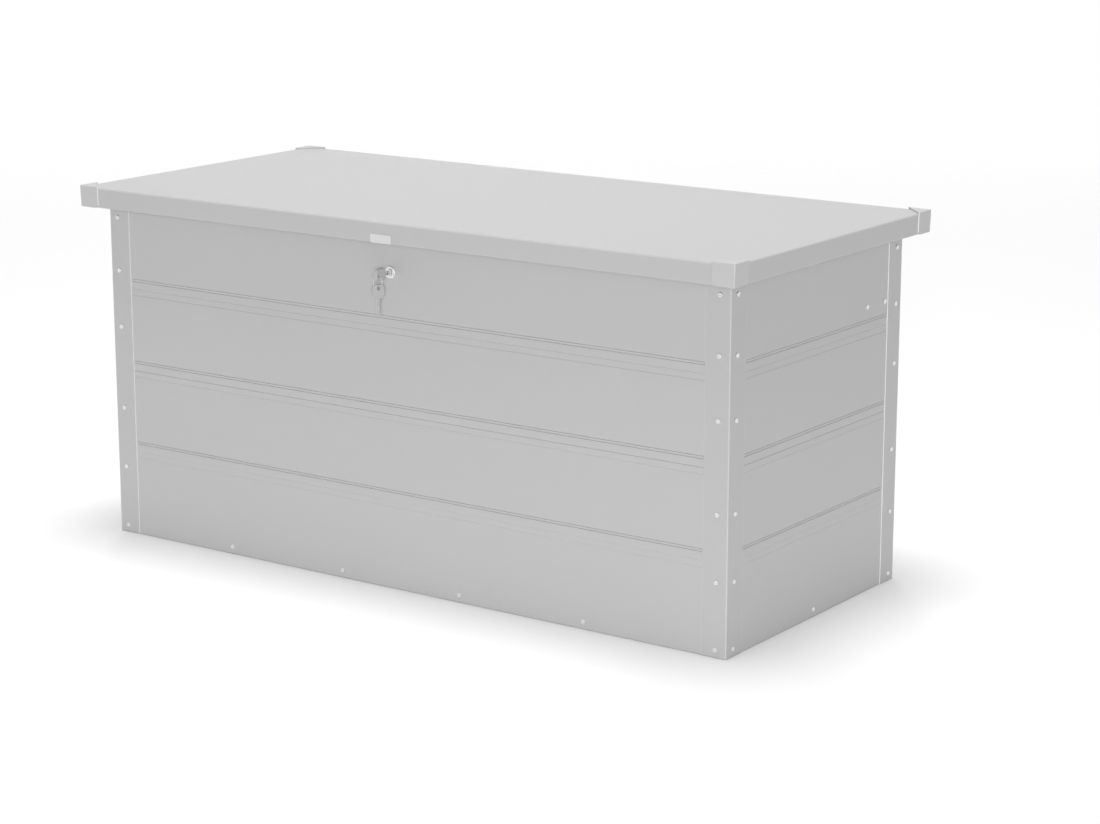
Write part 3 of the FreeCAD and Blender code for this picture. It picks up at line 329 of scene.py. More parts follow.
class Wave:
    """A value in a shader: arithmetic on it adds Math nodes."""

    def __init__(self, tree, socket):
        self.tree = tree
        self.socket = socket

    def maths(self, operation, *values):
        node = self.tree.nodes.new("ShaderNodeMath")
        node.operation = operation
        wire(node, dict(enumerate(values)), self.tree)
        return Wave(self.tree, node.outputs[0])

    def __add__(self, other):
        return self.maths("ADD", self, other)

    def __sub__(self, other):
        return self.maths("SUBTRACT", self, other)

    def __rsub__(self, other):
        return self.maths("SUBTRACT", other, self)

    def __mul__(self, other):
        return self.maths("MULTIPLY", self, other)

    def __pow__(self, other):
        return self.maths("POWER", self, other)

    __radd__ = __add__
    __rmul__ = __mul__


def wire(node, inputs, tree):
    """Puts values or links into a node's sockets, which are told by number or by name."""
    for key, value in inputs.items():
        slot = node.inputs[key if isinstance(key, int) else key.replace("_", " ")]
        if isinstance(value, Wave):
            tree.links.new(value.socket, slot)
        else:
            slot.default_value = value


class Finish:
    """One surface finish, built on a Principled shader."""

    def __init__(self, name, **constants):
        self.material = bpy.data.materials.new(name)
        self.material.use_nodes = True
        self.tree = self.material.node_tree
        self.tree.nodes.clear()
        out = self.tree.nodes.new("ShaderNodeOutputMaterial")
        self.shader = self.tree.nodes.new("ShaderNodeBsdfPrincipled")
        self.tree.links.new(self.shader.outputs[0], out.inputs[0])
        self.feed(**constants)
        self.place = self.node("ShaderNodeTexCoord", output="Object")

    def node(self, kind, settings=None, output=0, **inputs):
        """A node of a kind, with its settings first and then the values or links of its sockets."""
        node = self.tree.nodes.new(kind)
        for key, value in (settings or {}).items():
            setattr(node, key, value)
        wire(node, inputs, self.tree)
        return Wave(self.tree, node.outputs[output])

    def noise(self, scale, detail=2.0, roughness=0.5, vector=None):
        return self.node("ShaderNodeTexNoise", output="Fac", Vector=vector or self.place, Scale=scale,
                         Detail=detail, Roughness=roughness)

    def feed(self, **inputs):
        wire(self.shader, inputs, self.tree)
        return self

    def tone(self, amount, low, high):
        """A base colour between two, by an amount that varies over the surface."""
        mix = self.tree.nodes.new("ShaderNodeMix")
        mix.data_type = "RGBA"
        self.tree.links.new(amount.socket, mix.inputs[0])
        for slot in mix.inputs:
            if slot.type == "RGBA":
                slot.default_value = (*(low if slot.name == "A" else high), 1.0)
        return self.feed(Base_Color=Wave(self.tree, [socket for socket in mix.outputs if socket.type == "RGBA"][0]))

    def shades(self, drift, level, low, high, trace, rims):
        """A drift between two shades of grey, or a trace of it with painted highlight lines along the rims."""
        if rims:
            return self.tone(drift * trace + painted_rim_highlights(self, *rims), grey(level * low), PAINTED_HIGHLIGHT_TONE)
        return self.tone(drift, grey(level * low), grey(level * high))

    def bump(self, height, distance, strength):
        return self.feed(Normal=self.node("ShaderNodeBump", Height=height, Distance=distance, Strength=strength))


def grey(level):
    return (level, level, level)


# The colour of the painted highlight lines on rims, and the share of it painted along folds.
PAINTED_HIGHLIGHT_TONE = grey(0.95)
FOLD_HIGHLIGHT_SHARE = 0.25


def painted_rim_highlights(finish, ends, folds):
    """Painted highlights on a piece's rims: a bright painted highlight line on its cut ends, and a fainter
    painted highlight along its fold at the chest's corner. Both are told by how far a point is out along X and Y."""
    out = [value.maths("ABSOLUTE", value) for value in
           (finish.node("ShaderNodeSeparateXYZ", output=axis, Vector=finish.place) for axis in (0, 1))]
    cut = [value.maths("LESS_THAN", value, edge) for value, edge in zip(out, ends)]
    fold = [value.maths("GREATER_THAN", value, edge) for value, edge in zip(out, folds)]
    return cut[0] + cut[1] + fold[0] * fold[1] * FOLD_HIGHLIGHT_SHARE


def painted_steel(name, level, roughness=0.42, rims=None):
    """Satin powder coat: faint orange peel, a slow drift in tone and slightly uneven gloss, and
    painted highlight lines on the rims where they are given."""
    finish = Finish(name, IOR=1.45)
    drift = finish.noise(2.2, 3.0)
    peel = finish.noise(620.0, 2.0) * 0.6 + finish.noise(1900.0, 1.0) * 0.4
    swell = finish.noise(5.0, 1.0)
    finish.shades(drift, level, 0.975, 1.02, 0.05, rims)
    finish.feed(Roughness=(peel - 0.5) * 0.10 + (drift - 0.5) * 0.06 + roughness)
    return finish.bump(peel * 0.00012 + swell * 0.0006, 1.0, 0.5).material


def moulded_plastic(name, level, roughness=0.46, rims=None):
    """Moulded plastic with a fine spark-eroded grain, and painted highlight lines on its rims where they are given.
    """
    finish = Finish(name, IOR=1.49)
    grain = finish.noise(2600.0, 3.0, 0.7)
    cloud = finish.noise(18.0, 2.0)
    finish.shades(cloud, level, 0.97, 1.03, 0.06, rims)
    finish.feed(Roughness=(grain - 0.5) * 0.18 + roughness)
    return finish.bump(grain, 0.00006, 0.6).material


def plated_steel(name, level=0.86, roughness=0.30):
    """Bright zinc plate, a trace bluer where it is darker: fine mottled gloss and a trace of
    handling marks."""
    finish = Finish(name, Metallic=1.0)
    mottle = finish.noise(420.0, 4.0, 0.6)
    marks = finish.noise(60.0, 3.0)
    dark = level * 0.93
    finish.tone(mottle, (dark * 0.99, dark, dark), grey(level))
    finish.feed(Roughness=(mottle - 0.5) * 0.20 + (marks - 0.5) * 0.10 + roughness)
    return finish.bump(mottle, 0.00002, 0.5).material


def polished_plate(name, level=0.90, roughness=0.12):
    """Polished plating with faint smudges."""
    finish = Finish(name, Metallic=1.0)
    smudge = finish.noise(90.0, 3.0)
    finish.shades(smudge, level, 0.97, 1.0, 0.0, None)
    return finish.feed(Roughness=smudge ** 2.0 * 0.12 + roughness).material


def brushed_metal(name, level, scale, roughness):
    """Metal brushed one way: fine stripes that are long along the brushing, where the scale is
    the least."""
    finish = Finish(name, Metallic=1.0)
    stretched = finish.node("ShaderNodeMapping", Vector=finish.place, Scale=scale)
    stripes = finish.noise(1.0, 4.0, 0.65, stretched)
    finish.shades(stripes, level, 0.93, 1.0, 0.0, None)
    finish.feed(Roughness=(stripes - 0.5) * 0.22 + roughness)
    return finish.bump(stripes, 0.000015, 0.6).material


# Looks: a material and the name of the finish that it stands for. Where the posts and caps end,
# and where they fold, is told from their outermost points; painted highlight lines are put there.
POST_ENDS = (HALF_LENGTH - POST_LEG + 0.0001, HALF_DEPTH - POST_LEG + 0.0001)
POST_FOLDS = (HALF_LENGTH - 0.0011, HALF_DEPTH - 0.0011)
CAP_ENDS = (LID_HALF_LENGTH + 0.0027 - CAP_LEG, LID_HALF_DEPTH + 0.0027 - CAP_LEG)
CAP_FOLDS = (LID_HALF_LENGTH + 0.0013, LID_HALF_DEPTH + 0.0013)
PAINT = painted_steel("sheet_paint", 0.505), "painted_sheet"
POST_PAINT = painted_steel("post_paint", 0.500, rims=(POST_ENDS, POST_FOLDS)), "painted_sheet"
INNER_PAINT = painted_steel("inner_paint", 0.50, 0.5), "painted_sheet"
CAP_PLASTIC = moulded_plastic("cap_plastic", 0.535, rims=(CAP_ENDS, CAP_FOLDS)), "cap_plastic"
ZINC = plated_steel("zinc_plate"), "zinc_steel"
CHROME = polished_plate("lock_chrome"), "lock_chrome"
ROD_CHROME = polished_plate("rod_chrome", 0.80, 0.10), "rod_chrome"
TUBE_BLACK = painted_steel("strut_tube_black", 0.022, 0.34), "tube_black"
SOCKET_NYLON = moulded_plastic("socket_nylon", 0.030, 0.52), "socket_plastic"
KEY_PLASTIC = moulded_plastic("key_head_plastic", 0.47, 0.40), "key_plastic"
KEY_STEEL = brushed_metal("key_blade_steel", 0.62, (300.0, 300.0, 4000.0), 0.26), None
PLATE_METAL = brushed_metal("plate_aluminium", 0.74, (60.0, 3000.0, 3000.0), 0.42), "plate_aluminium"

solid_looks = {slot: material for material, slot in (INNER_PAINT, CAP_PLASTIC, ZINC, CHROME, ROD_CHROME, TUBE_BLACK,
                                                     SOCKET_NYLON, KEY_PLASTIC, PLATE_METAL)}
for part in frame["record"]["subparts"]:
    mesh = frame["nodes"][part["node"]].data
    mesh.materials.clear()
    mesh.materials.append(solid_looks[part["material_slot"]])


# Walls. Each sheet is one folded profile: the flats and recessed bands in height, with every
# bend rounded, carried along the wall. Insets are from the wall's outer face.
BEND = 0.0005
RECESS = 0.0007
STEP = 0.0011
LAP_RISE = 0.0110


def band_corners(foot):
    """A band from its foot up, as inset and height: a shallow recess with a step in it and two
    creases under its upper edge."""
    profile = ((0.0, 0.0), (RECESS, 0.0016), (RECESS, LAP_RISE), (STEP, 0.0116), (STEP, 0.0244), (0.0026, 0.0248),
               (0.0008, 0.0260), (0.0008, 0.0288), (0.0024, 0.0291), (0.0, 0.0303))
    return [(inset, foot + rise) for inset, rise in profile]


def wall_corners(part):
    """The corners of a wall sheet's outer face. In the middle band the lower sheet dips behind
    the upper one, which starts there."""
    low, middle, top = BAND_FEET
    if part == "lower":
        behind = STEP + 0.0001 + WALL_GAUGE
        lap = [(behind, middle + 0.0116), (behind, middle + 0.020)]
        return [(0.0, 0.0)] + band_corners(low) + band_corners(middle)[:3] + lap
    return [(STEP, middle + 0.0119)] + band_corners(middle)[4:] + band_corners(top) + [(0.0, WALL_TOP)]


def wall_sheet(side, part):
    """A folded sheet: the profile (inset, height) stands across the wall, and runs along it. The
    bands close at the posts: their inset is scaled down to nothing over the last 1.5 mm, or to
    one gauge where the lower sheet lies behind the upper one."""
    turn, reach, run = WALLS[side]
    hidden_end = 0.0028 if run == HALF_LENGTH else 0.0065
    post_edge = run - POST_LEG
    path = rounded_path(wall_corners(part), BEND, 4)
    lap = BAND_FEET[1] + LAP_RISE
    kept = np.interp(path[:, 1], [lap, lap + 0.0006], [0.0, WALL_GAUGE + 0.0001 if part == "lower" else 0.0])

    def pressed(profile, along):
        depth = float(abs(along) < post_edge - 0.001)
        inset = kept + (profile[:, 0] - kept) * depth + POST_GAUGE + WALL_GAUGE / 2
        return sheet_outline(pairs(inset, profile[:, 1]), WALL_GAUGE) - (reach, 0.0)

    sheet = across(path, both_ways([post_edge - 0.0017, post_edge - 0.0002, run - hidden_end]), pressed)
    dress(f"{side}_sheet_{part}", about_z(sheet, -turn), "chest", PAINT, f"{side}_wall_{part}", 25.0)


for side in WALLS:
    wall_sheet(side, "lower")
    wall_sheet(side, "upper")


def corner_post(corner):
    """A folded angle: its outline in plan, with a rounded fold, carried straight up."""
    half = POST_GAUGE / 2
    path = rounded_path([(POST_LEG, half), (half, half), (half, POST_LEG)], 0.002, 10)
    plan = (np.array([HALF_LENGTH, HALF_DEPTH]) - sheet_outline(path, POST_GAUGE)) * CORNERS[corner]
    shape = layered([(plan, 0.0), (plan, WALL_TOP)])
    dress(f"post_{corner}", shape, "chest", POST_PAINT, f"corner_post_{corner}", 25.0)


for corner in CORNERS:
    corner_post(corner)


# The lid: a profile from the rim's inward fold over the rounded edge onto the top, carried
# round the rectangle with mitred corners, and the flat between.


def lid_sheet():
    """Rings of the rectangle: profile point (inset, height) gives the ring with half sizes
    reduced by the inset. The profile's open end at the top is closed by two flats, one for each
    face of the sheet."""
    half, rise = LID_GAUGE / 2, LID_TOP - RIM_BOTTOM - LID_GAUGE / 2
    path = rounded_path([(0.010, half), (half, half), (half, rise), (0.020, rise)], 0.0026, 8)
    size, signs = np.array([LID_HALF_LENGTH, LID_HALF_DEPTH]), np.array(list(CORNERS.values()))
    points, faces = layered([((size - inset) * signs, height + RIM_BOTTOM)
                             for inset, height in sheet_outline(path, LID_GAUGE)], True)
    last = len(path) - 1
    faces = [face for face in faces if not (min(face) // 4 == last and max(face) // 4 == last + 1)]
    faces.append([last * 4 + step for step in range(4)])
    faces.append([last * 4 + 4 + step for step in range(4)][::-1])
    dress("lid_sheet", (points, faces), "lid", PAINT, "lid_panel", 50.0)


lid_sheet()


def corner_cap(corner):
    """A moulded cap. Its rows run round the corner in plan, one after the other from the inside
    of the skirt, under its foot, up the outer face, over the rounded top edge and across to the
    diagonal step. The outer face leans in by the draft towards its foot, and the foot rises in
    an arc at the ends of both legs. Insets are from the cap's own outer faces."""
    draft, edge, wall, toe, fold, nose = 0.0010, 0.0014, 0.0024, 0.006, 0.0022, 0.0013
    step_depth, step_bevel = 0.0025, 0.0004
    tall = CAP_TOP - RIM_BOTTOM
    bend = np.linspace(0.0, math.pi / 2, 9)
    round_off = np.linspace(math.pi / 2, 0.0, 6)[:-1]
    nosed = len(round_off)
    ends = CAP_LEG - toe + (toe - nose) * np.sin(np.linspace(0, math.pi / 2, 8))
    run = np.concatenate([CAP_LEG - nose + nose * np.sin(round_off), ends[::-1], [0.026, 0.018, 0.010]])
    set_in = np.concatenate([nose - nose * np.cos(round_off), np.zeros(len(run) - nosed)])
    leg = pairs(run, set_in)
    plan = np.vstack([leg, pairs(fold - fold * np.sin(bend), fold - fold * np.cos(bend)), leg[::-1, ::-1]])
    outward = np.vstack([np.tile([0.0, -1.0], (len(run), 1)), pairs(-np.sin(bend), -np.cos(bend)),
                         np.tile([-1.0, 0.0], (len(run), 1))])
    past_toe = np.maximum(0.0, plan.max(axis=1) - (CAP_LEG - toe))
    foot = np.minimum(toe - np.sqrt(np.maximum(toe ** 2 - past_toe ** 2, 0.0)), toe * 0.93)
    slide = (plan[:, 0] - plan[:, 1]) / CAP_LEG
    slide[:nosed] = np.linspace(slide.max(), slide[nosed], nosed, endpoint=False)
    slide[-nosed:] = -slide[:nosed][::-1]
    reach, spread = CAP_LEG + 0.0008, slide * (CAP_LEG - 0.0016)
    diagonal = pairs((reach + spread) / 2, (reach - spread) / 2)
    rows = []

    def row(inset, height):
        flat = plan - outward * inset
        flat[:nosed, 1] = np.minimum(flat[:nosed, 1], wall)
        flat[-nosed:, 0] = np.minimum(flat[-nosed:, 0], wall)
        rows.append((flat, height))

    for inset, height in ((wall, tall - wall), (wall, foot + 0.0005), (wall - 0.0005, foot), (draft + 0.0006, foot),
                          (draft, foot + 0.0006), (draft * 0.45, tall * 0.55)):
        row(inset, height)
    for angle in np.linspace(0.0, math.pi / 2, 6):
        row(edge - edge * math.cos(angle), tall - edge + edge * math.sin(angle))
    top = rows[-1][0]
    rows += [(top + (diagonal - top) * share, tall) for share in (0.5, 0.97)]
    rows += [(diagonal, tall - step_bevel), (diagonal, tall - step_depth)]
    row(wall, tall - step_depth)
    outermost = np.array([LID_HALF_LENGTH + CAP_PROUD, LID_HALF_DEPTH + CAP_PROUD])
    points = layered([((outermost - flat) * CORNERS[corner], height + RIM_BOTTOM) for flat, height in rows])[0]
    count, around = points.shape[:2]
    faces = grid_faces(count, around, around_rows=True)
    faces.append([step * around for step in range(count)])
    faces.append([step * around + around - 1 for step in range(count)][::-1])
    dress(f"cap_{corner}", (points, faces), "lid", CAP_PLASTIC, f"lid_cap_{corner}", 40.0)


for corner in CORNERS:
    corner_cap(corner)


# Screws: pan heads with a cross recess, and the nuts behind them.
SCREW_INSET = 0.019
FOOT_ROW = 0.012
COLUMN = (0.119, 0.2255, 0.3705, 0.470)
TOP_ROW = 0.563
FOOT_PITCH = 0.2444
BRACKET_SCREW = 0.029
HINGE_PITCH = 0.070 / 3
WALL_LEAF_FACE, WALL_LEAF_NUT, LID_LEAF_FACE = (0.266, 0.560), (0.2626, 0.560), (0.2822, 0.6027)


def pan_head(radius=0.0039, height=0.0024):
    """A domed head: height over the radius is a rounded shoulder and a shallow dome, less a cross
    that is deepest in the middle and narrows towards its ends."""
    share = np.array([0.02, 0.10, 0.20, 0.30, 0.42, 0.55, 0.68, 0.80, 0.90, 0.97, 1.0, 1.0])
    dome = height * (1.0 - 0.32 * share ** 2.4 - 0.30 * np.clip((share - 0.86) / 0.14, 0, 1) ** 2)
    dome[-1] = 0.0
    half_arm, reach, deep = 0.00055, radius * 0.60, 0.0013
    flat = polar(full_turn(24), share[:, None] * radius)
    off_arm, along_arm = np.abs(flat).min(axis=-1), np.abs(flat).max(axis=-1)
    cross = np.clip((half_arm - off_arm) / 0.0003 + 0.5, 0, 1) * np.clip((reach - along_arm) / 0.0006, 0, 1)
    z = dome[:, None] - deep * cross * np.clip(1.25 - along_arm / reach, 0.35, 1.0)
    return rings(np.dstack([flat, z]))


def hex_nut(width=0.007, height=0.0032, thread=0.002):
    """A nut and its screw's end: the hexagon's reach at an angle is half its width over the
    cosine of the angle to the nearest flat, less a bevel that cuts its upper corners round."""
    angle = full_turn(36)
    hexagon = width / 2 / np.cos((angle + math.pi / 6) % (math.pi / 3) - math.pi / 6)
    rows = [(hexagon, 0.0), (hexagon, height - 0.5 * (hexagon - width * 0.47)),
            (np.minimum(hexagon, width * 0.52) * 0.93, height), (thread * 1.12, height), (thread, height - 0.0002),
            (thread * 0.96, height - 0.0004), (thread * 0.8, height - 0.0003)]
    return layered([(polar(angle, reach), level) for reach, level in rows])


def on_wall(side, along, height, inset, outwards=True):
    """Where a fastener lies on a wall, each turned differently, with its head out or its nut in."""
    turn, reach = WALLS[side][:2]
    twist = (along * 7919 + height * 3571) * 1000 % 90
    return (turned(turn, "Z") @ Matrix.Translation((along, inset - reach, height))
            @ turned(90 if outwards else -90, "X") @ turned(twist, "Z"))


def wall_fasteners():
    """The heads and nuts of all four walls: two columns, the foot's row, and the struts' brackets.
    Each spot is the place along the wall, the height, and the insets of its head and its nut."""
    heads, nuts = [], []
    behind = POST_GAUGE + WALL_GAUGE
    for side in WALLS:
        run = WALLS[side][2]
        spots = []
        for edge in (SCREW_INSET - run, run - SCREW_INSET):
            spots.append((edge, FOOT_ROW, 0.0, behind + 0.0006))
            spots += [(edge, height, 0.0, behind) for height in COLUMN]
            spots.append((edge, TOP_ROW, 0.0, behind + 0.0008))
        steps = (-1.5, -0.5, 0.5, 1.5) if run == HALF_LENGTH else (0.0,)
        spots += [(FOOT_PITCH * step, FOOT_ROW, POST_GAUGE, behind + 0.0006) for step in steps]
        if side in SIDES:
            spots += [(PIVOT[0] * SIDES[side] + shift, PIVOT[1], POST_GAUGE, behind + 0.002)
                      for shift in (-BRACKET_SCREW, BRACKET_SCREW)]
        for along, height, face, back in spots:
            heads.append(on_wall(side, along, height, face))
            nuts.append(on_wall(side, along, height, back, False))
    return heads, nuts


head_places, nut_places = wall_fasteners()
hinge_spots = [way * HINGE_X + step * HINGE_PITCH for way in SIDES.values() for step in (-1, 0, 1)]
wall_leaf_heads = [facing((x, *WALL_LEAF_FACE), (0, 1, 0)) for x in hinge_spots]
lid_leaf_heads = [facing((x, *LID_LEAF_FACE), (0, 0, -1)) for x in hinge_spots]
nut_places += [facing((x, *WALL_LEAF_NUT), (0, -1, 0)) for x in hinge_spots]
dress("wall_screw_heads", pan_head(), "chest", ZINC, "wall_screws", 50.0, head_places, False)
dress("hinge_screw_heads", pan_head(), "chest", ZINC, "hinge_wall_screws", 50.0, wall_leaf_heads, False)
dress("lid_leaf_screw_heads", pan_head(), "lid", ZINC, "hinge_lid_screws", 50.0, lid_leaf_heads, False)
dress("nuts", hex_nut(), "chest", ZINC, "wall_nuts", 35.0, nut_places)


# The lock and its keys. Z runs out of the lock's face, and inside the wall it is negative.
LOCK_PLACE = [Matrix.Translation((LOCK_SIDE, LOCK_FACE, LOCK_HEIGHT)) @ turned(90, "X")]


def lock_body():
    """The barrel, bezel and nose: one closed profile turned about the lock's axis."""
    bore, barrel, bezel, tail = 0.00505, 0.008, 0.010, -0.028
    corners = [(bore, tail), (barrel, tail), (barrel, 0.0), (bezel, 0.0), (bezel, 0.0012), (0.0092, 0.0020),
               (0.0073, 0.0022), (0.0070, 0.0076), (0.0066, 0.0080), (0.0056, 0.0080), (bore, 0.0077), (bore, tail)]
    shape = lathe(rounded_path(corners, 0.00025, 4)[:-1], 64, True)
    dress("lock_housing", shape, "chest", CHROME, "lock_barrel", 40.0, LOCK_PLACE)


def lock_plug():
    """The plug, from the keyway's end out to its face, back along its round side to the square
    tail, and over the head of the cam's screw."""
    angle = full_turn(64)
    keyway = superloop(angle, 0.00125, 0.00345, 14.0)
    tail = superloop(angle, 0.0030, 0.0030, 18.0)
    face = ((0.0045, 0.0078), (0.0049, 0.0075), (0.0050, 0.0070), (0.0050, -0.0280))
    screw = ((0.0044, -0.0303), (0.0044, -0.0316), (0.0040, -0.0322), (0.0030, -0.0326), (0.0016, -0.0327),
             (0.0015, -0.0318))
    rows = [(keyway, -0.0180), (keyway, 0.0074), (keyway * 1.16, 0.0078)]
    rows += [(superloop(angle, r, r), z) for r, z in face]
    rows += [(tail, -0.0280), (tail, -0.0303)]
    rows += [(superloop(angle, r, r), z) for r, z in screw]
    dress("plug", layered(rows), "lock", CHROME, "lock_plug", 35.0, LOCK_PLACE)


def cam_bar():
    """A flat bar round a square hole. Its outline is a stadium: a half circle below the lock's
    axis, straight sides, and a half circle round the tip's centre."""
    radius, reach, ease = 0.0067, 0.031, 0.0003
    side = np.linspace(0.06, 0.94, 12) * reach
    outline = np.vstack([
        polar(np.linspace(math.pi, 2 * math.pi, 28), radius),
        pairs(np.full(12, radius), side),
        polar(np.linspace(0, math.pi, 28), radius) + (0.0, reach),
        pairs(np.full(12, -radius), side[::-1]),
    ])
    hole = superloop(np.arctan2(outline[:, 1], outline[:, 0]), 0.00306, 0.00306, 18.0)
    eased = outline - ease * outline / np.linalg.norm(outline, axis=1, keepdims=True)
    rear, front = -0.0303, -0.0283
    rows = [(hole, rear), (eased, rear), (outline, rear + ease), (outline, front - ease), (eased, front),
            (hole, front)]
    dress("cam", layered(rows, True), "lock", ZINC, "lock_cam", 30.0, LOCK_PLACE)


def barrel_nut():
    """A thin hexagon nut round the barrel with its inner corners bevelled."""
    angle = full_turn(72)
    hexagon = 0.011 / np.cos((angle - math.pi / 3) % (math.pi / 3) - math.pi / 6)
    bore, bevel, outer, inner = 0.00805, 0.0111, -0.0006, -0.0046
    rows = [(bore, outer), (hexagon, outer), (hexagon, inner + 0.58 * np.maximum(hexagon - bevel, 0.0)),
            (np.minimum(hexagon, bevel), inner), (0.0084, inner), (bore, inner + 0.0003)]
    shape = layered([(polar(angle, reach), level) for reach, level in rows], True)
    dress("barrel_nut", shape, "chest", ZINC, "lock_nut", 30.0, LOCK_PLACE)


lock_body()
lock_plug()
cam_bar()
barrel_nut()


def key_head_shape():
    """A moulded head round its hole: each section starts in the hole's wall, goes over the front
    face to the rounded outer edge and comes back over the rear face. The outline is a
    superellipse, and the faces have a shallow sunk field inside a raised rim."""
    half_width, half_length, half_thick, above_hole, hole_radius = 0.0100, 0.01185, 0.0025, 0.006, 0.0030
    sunk = 0.86
    outline = superloop(full_turn(72), half_width, half_length, 3.2) + (0.0, above_hole - half_length)
    hole = outline / np.linalg.norm(outline, axis=1, keepdims=True) * hole_radius
    section = [(0.0, 0.0), (0.0, 0.80), (0.03, 1.0), (0.10, 1.0), (0.14, sunk), (0.55, sunk), (0.76, sunk),
               (0.80, 1.0), (0.93, 1.0), (0.975, sunk), (0.995, 0.55), (1.0, 0.0)]
    section = section + [(share, -level) for share, level in section[-2:0:-1]]
    points, faces = layered([(hole + (outline - hole) * share, level * half_thick) for share, level in section], True)
    return points[..., [2, 0, 1]], faces


def key_blade_shape():
    """A flat blade: its edge outline with bitting cuts, thinner along a milled groove."""
    tip, foot, half_width, half_thick = -0.0437, -0.0170, 0.0032, 0.0010
    bitting = ((0.26, 0.0011), (0.39, 0.0017), (0.52, 0.0008), (0.65, 0.0014), (0.78, 0.0010))
    length = np.linspace(foot, tip, 90)
    share = (foot - length) / (foot - tip)
    cuts = sum(depth * np.clip(1.0 - np.abs(share - spot) / 0.06, 0, 1) for spot, depth in bitting)
    point = np.clip((share - 0.90) / 0.10, 0, 1)
    low = 0.0024 * point - half_width
    high = half_width - cuts - 0.0016 * point
    crosswise = np.array([0.0, 0.10, 0.30, 0.36, 0.60, 0.66, 0.90, 1.0])
    thick = np.array([0.55, 1.0, 1.0, 0.62, 0.62, 1.0, 1.0, 0.55]) * half_thick
    y = low[:, None] + (high - low)[:, None] * crosswise
    y = np.concatenate([y, y[:, ::-1]], axis=1)
    x = np.concatenate([thick, -thick[::-1]])
    return rings(np.dstack([np.broadcast_to(x, y.shape), y, np.broadcast_to(length[:, None], y.shape)]))


def key(name, node, place):
    dress(f"{name}_blade", key_blade_shape(), node, KEY_STEEL, node, 30.0, [place])
    dress(f"{name}_head", key_head_shape(), node, KEY_PLASTIC, node, 50.0, [place])


key("lock_key", "key", Matrix.Translation((LOCK_SIDE, KEY_BACK, LOCK_HEIGHT)) @ turned(90, "X"))
key("hanging_key", "spare_key", Matrix.Translation((LOCK_SIDE, KEY_BACK, SPARE_HEIGHT)) @ turned(SPARE_TURN, "Z"))


def split_ring():
    """A split ring: two flat turns of wire side by side, with a short jog from one to the other."""
    radius, wire, aside = 0.009, 0.0004, 0.00041
    share = np.linspace(0, 1, 160)
    angle = share * 4 * math.pi - 0.5
    jog = np.clip((share - 0.47) / 0.06, 0, 1)
    side = -aside + 2 * aside * (jog * jog * (3 - 2 * jog))
    path = np.stack([radius * np.cos(angle), side, radius * np.sin(angle)], axis=-1)
    path += np.array([LOCK_SIDE, KEY_BACK, RING_HEIGHT])
    dress("split_ring", tube(path, wire, 10), "key_ring", ZINC, "key_ring", 60.0, even=False)


split_ring()


def bare_plate():
    """A pressed plate: its outline is a rectangle with quarter circles at the corners, its edge
    is rounded, and its face is sunk a little inside a narrow border."""
    x_low, x_high, z_low, z_high = PLATE
    half_x, half_z = (x_high - x_low) / 2, (z_high - z_low) / 2
    corner = 0.0022
    way = polar(full_turn(96))
    core = np.sign(way) * (half_x - corner, half_z - corner)
    section = ((0.0, 0.0), (0.0, 0.0007), (0.0003, 0.0011), (0.0006, 0.0012), (0.0013, 0.0012), (0.0016, 0.0010),
               (0.0019, 0.0010))
    middle = ((x_low + x_high) / 2, (z_low + z_high) / 2)
    points, faces = layered([(core + way * (corner - inset) + middle, -LID_HALF_DEPTH - rise)
                             for inset, rise in section])
    dress("bare_plate", (points[..., [0, 2, 1]], faces), "lid", PLATE_METAL, "label_plate", 30.0)


bare_plate()


# Folded stiffening: a top-hat profile carried along a length.
HAT = (0.018, 0.008)


def top_hat(crown, flange, depth, gauge, length, fold=0.0018):
    """Across X: flange, web, crown, web, flange, with rounded folds, the crown at height 0 and
    the flanges at the depth; carried along Y."""
    outer, rise, half = crown / 2 - gauge / 2, depth - gauge / 2, gauge / 2
    path = rounded_path([(-crown / 2 - flange, rise), (-outer, rise), (-outer, half), (outer, half), (outer, rise),
                         (crown / 2 + flange, rise)], fold, 6)
    points, faces = across(sheet_outline(path, gauge), (-length / 2, length / 2))
    return points[..., [1, 0, 2]], faces


def stiffener(name, node, x_way):
    """A hat under the lid as long as its solid, with its flanges up."""
    low, high = np.array(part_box(node))
    middle = (low + high) / 2
    length = (high - low)[1 if x_way[0] else 0]
    place = axes(x_way, (0, 0, 1), (round(middle[0], 4), middle[1], low[2]))
    dress(name, top_hat(*HAT, 0.012, LID_GAUGE, length), "lid", INNER_PAINT, node, 25.0, [place])


for name in ("left", "centre", "right"):
    stiffener(f"stiffener_{name}", f"lid_brace_{name}", (1, 0, 0))
stiffener("hinge_rail", "lid_rear_rail", (0, -1, 0))


# Hinges: leaves of thick sheet whose edges are rolled round the pin. Their profiles are (y, z)
# from the pin's axis.
LEAF_HALF = 0.035
LEAF_GAUGE = 0.002
CURL_GAUGE = 0.0019
KNUCKLE = 0.0150
KNUCKLE_GAP = 0.0003
PIN_RADIUS = 0.0025


def rolled_leaf(flat, from_angle, to_angle):
    """A profile that runs along its flat and then round the pin at the origin, where the sheet's
    middle lies 3.45 mm from the pin's axis."""
    curl = polar(np.radians(np.linspace(from_angle, to_angle, 24)), 0.00345)
    return sheet_outline(np.vstack([flat, curl]), CURL_GAUGE)


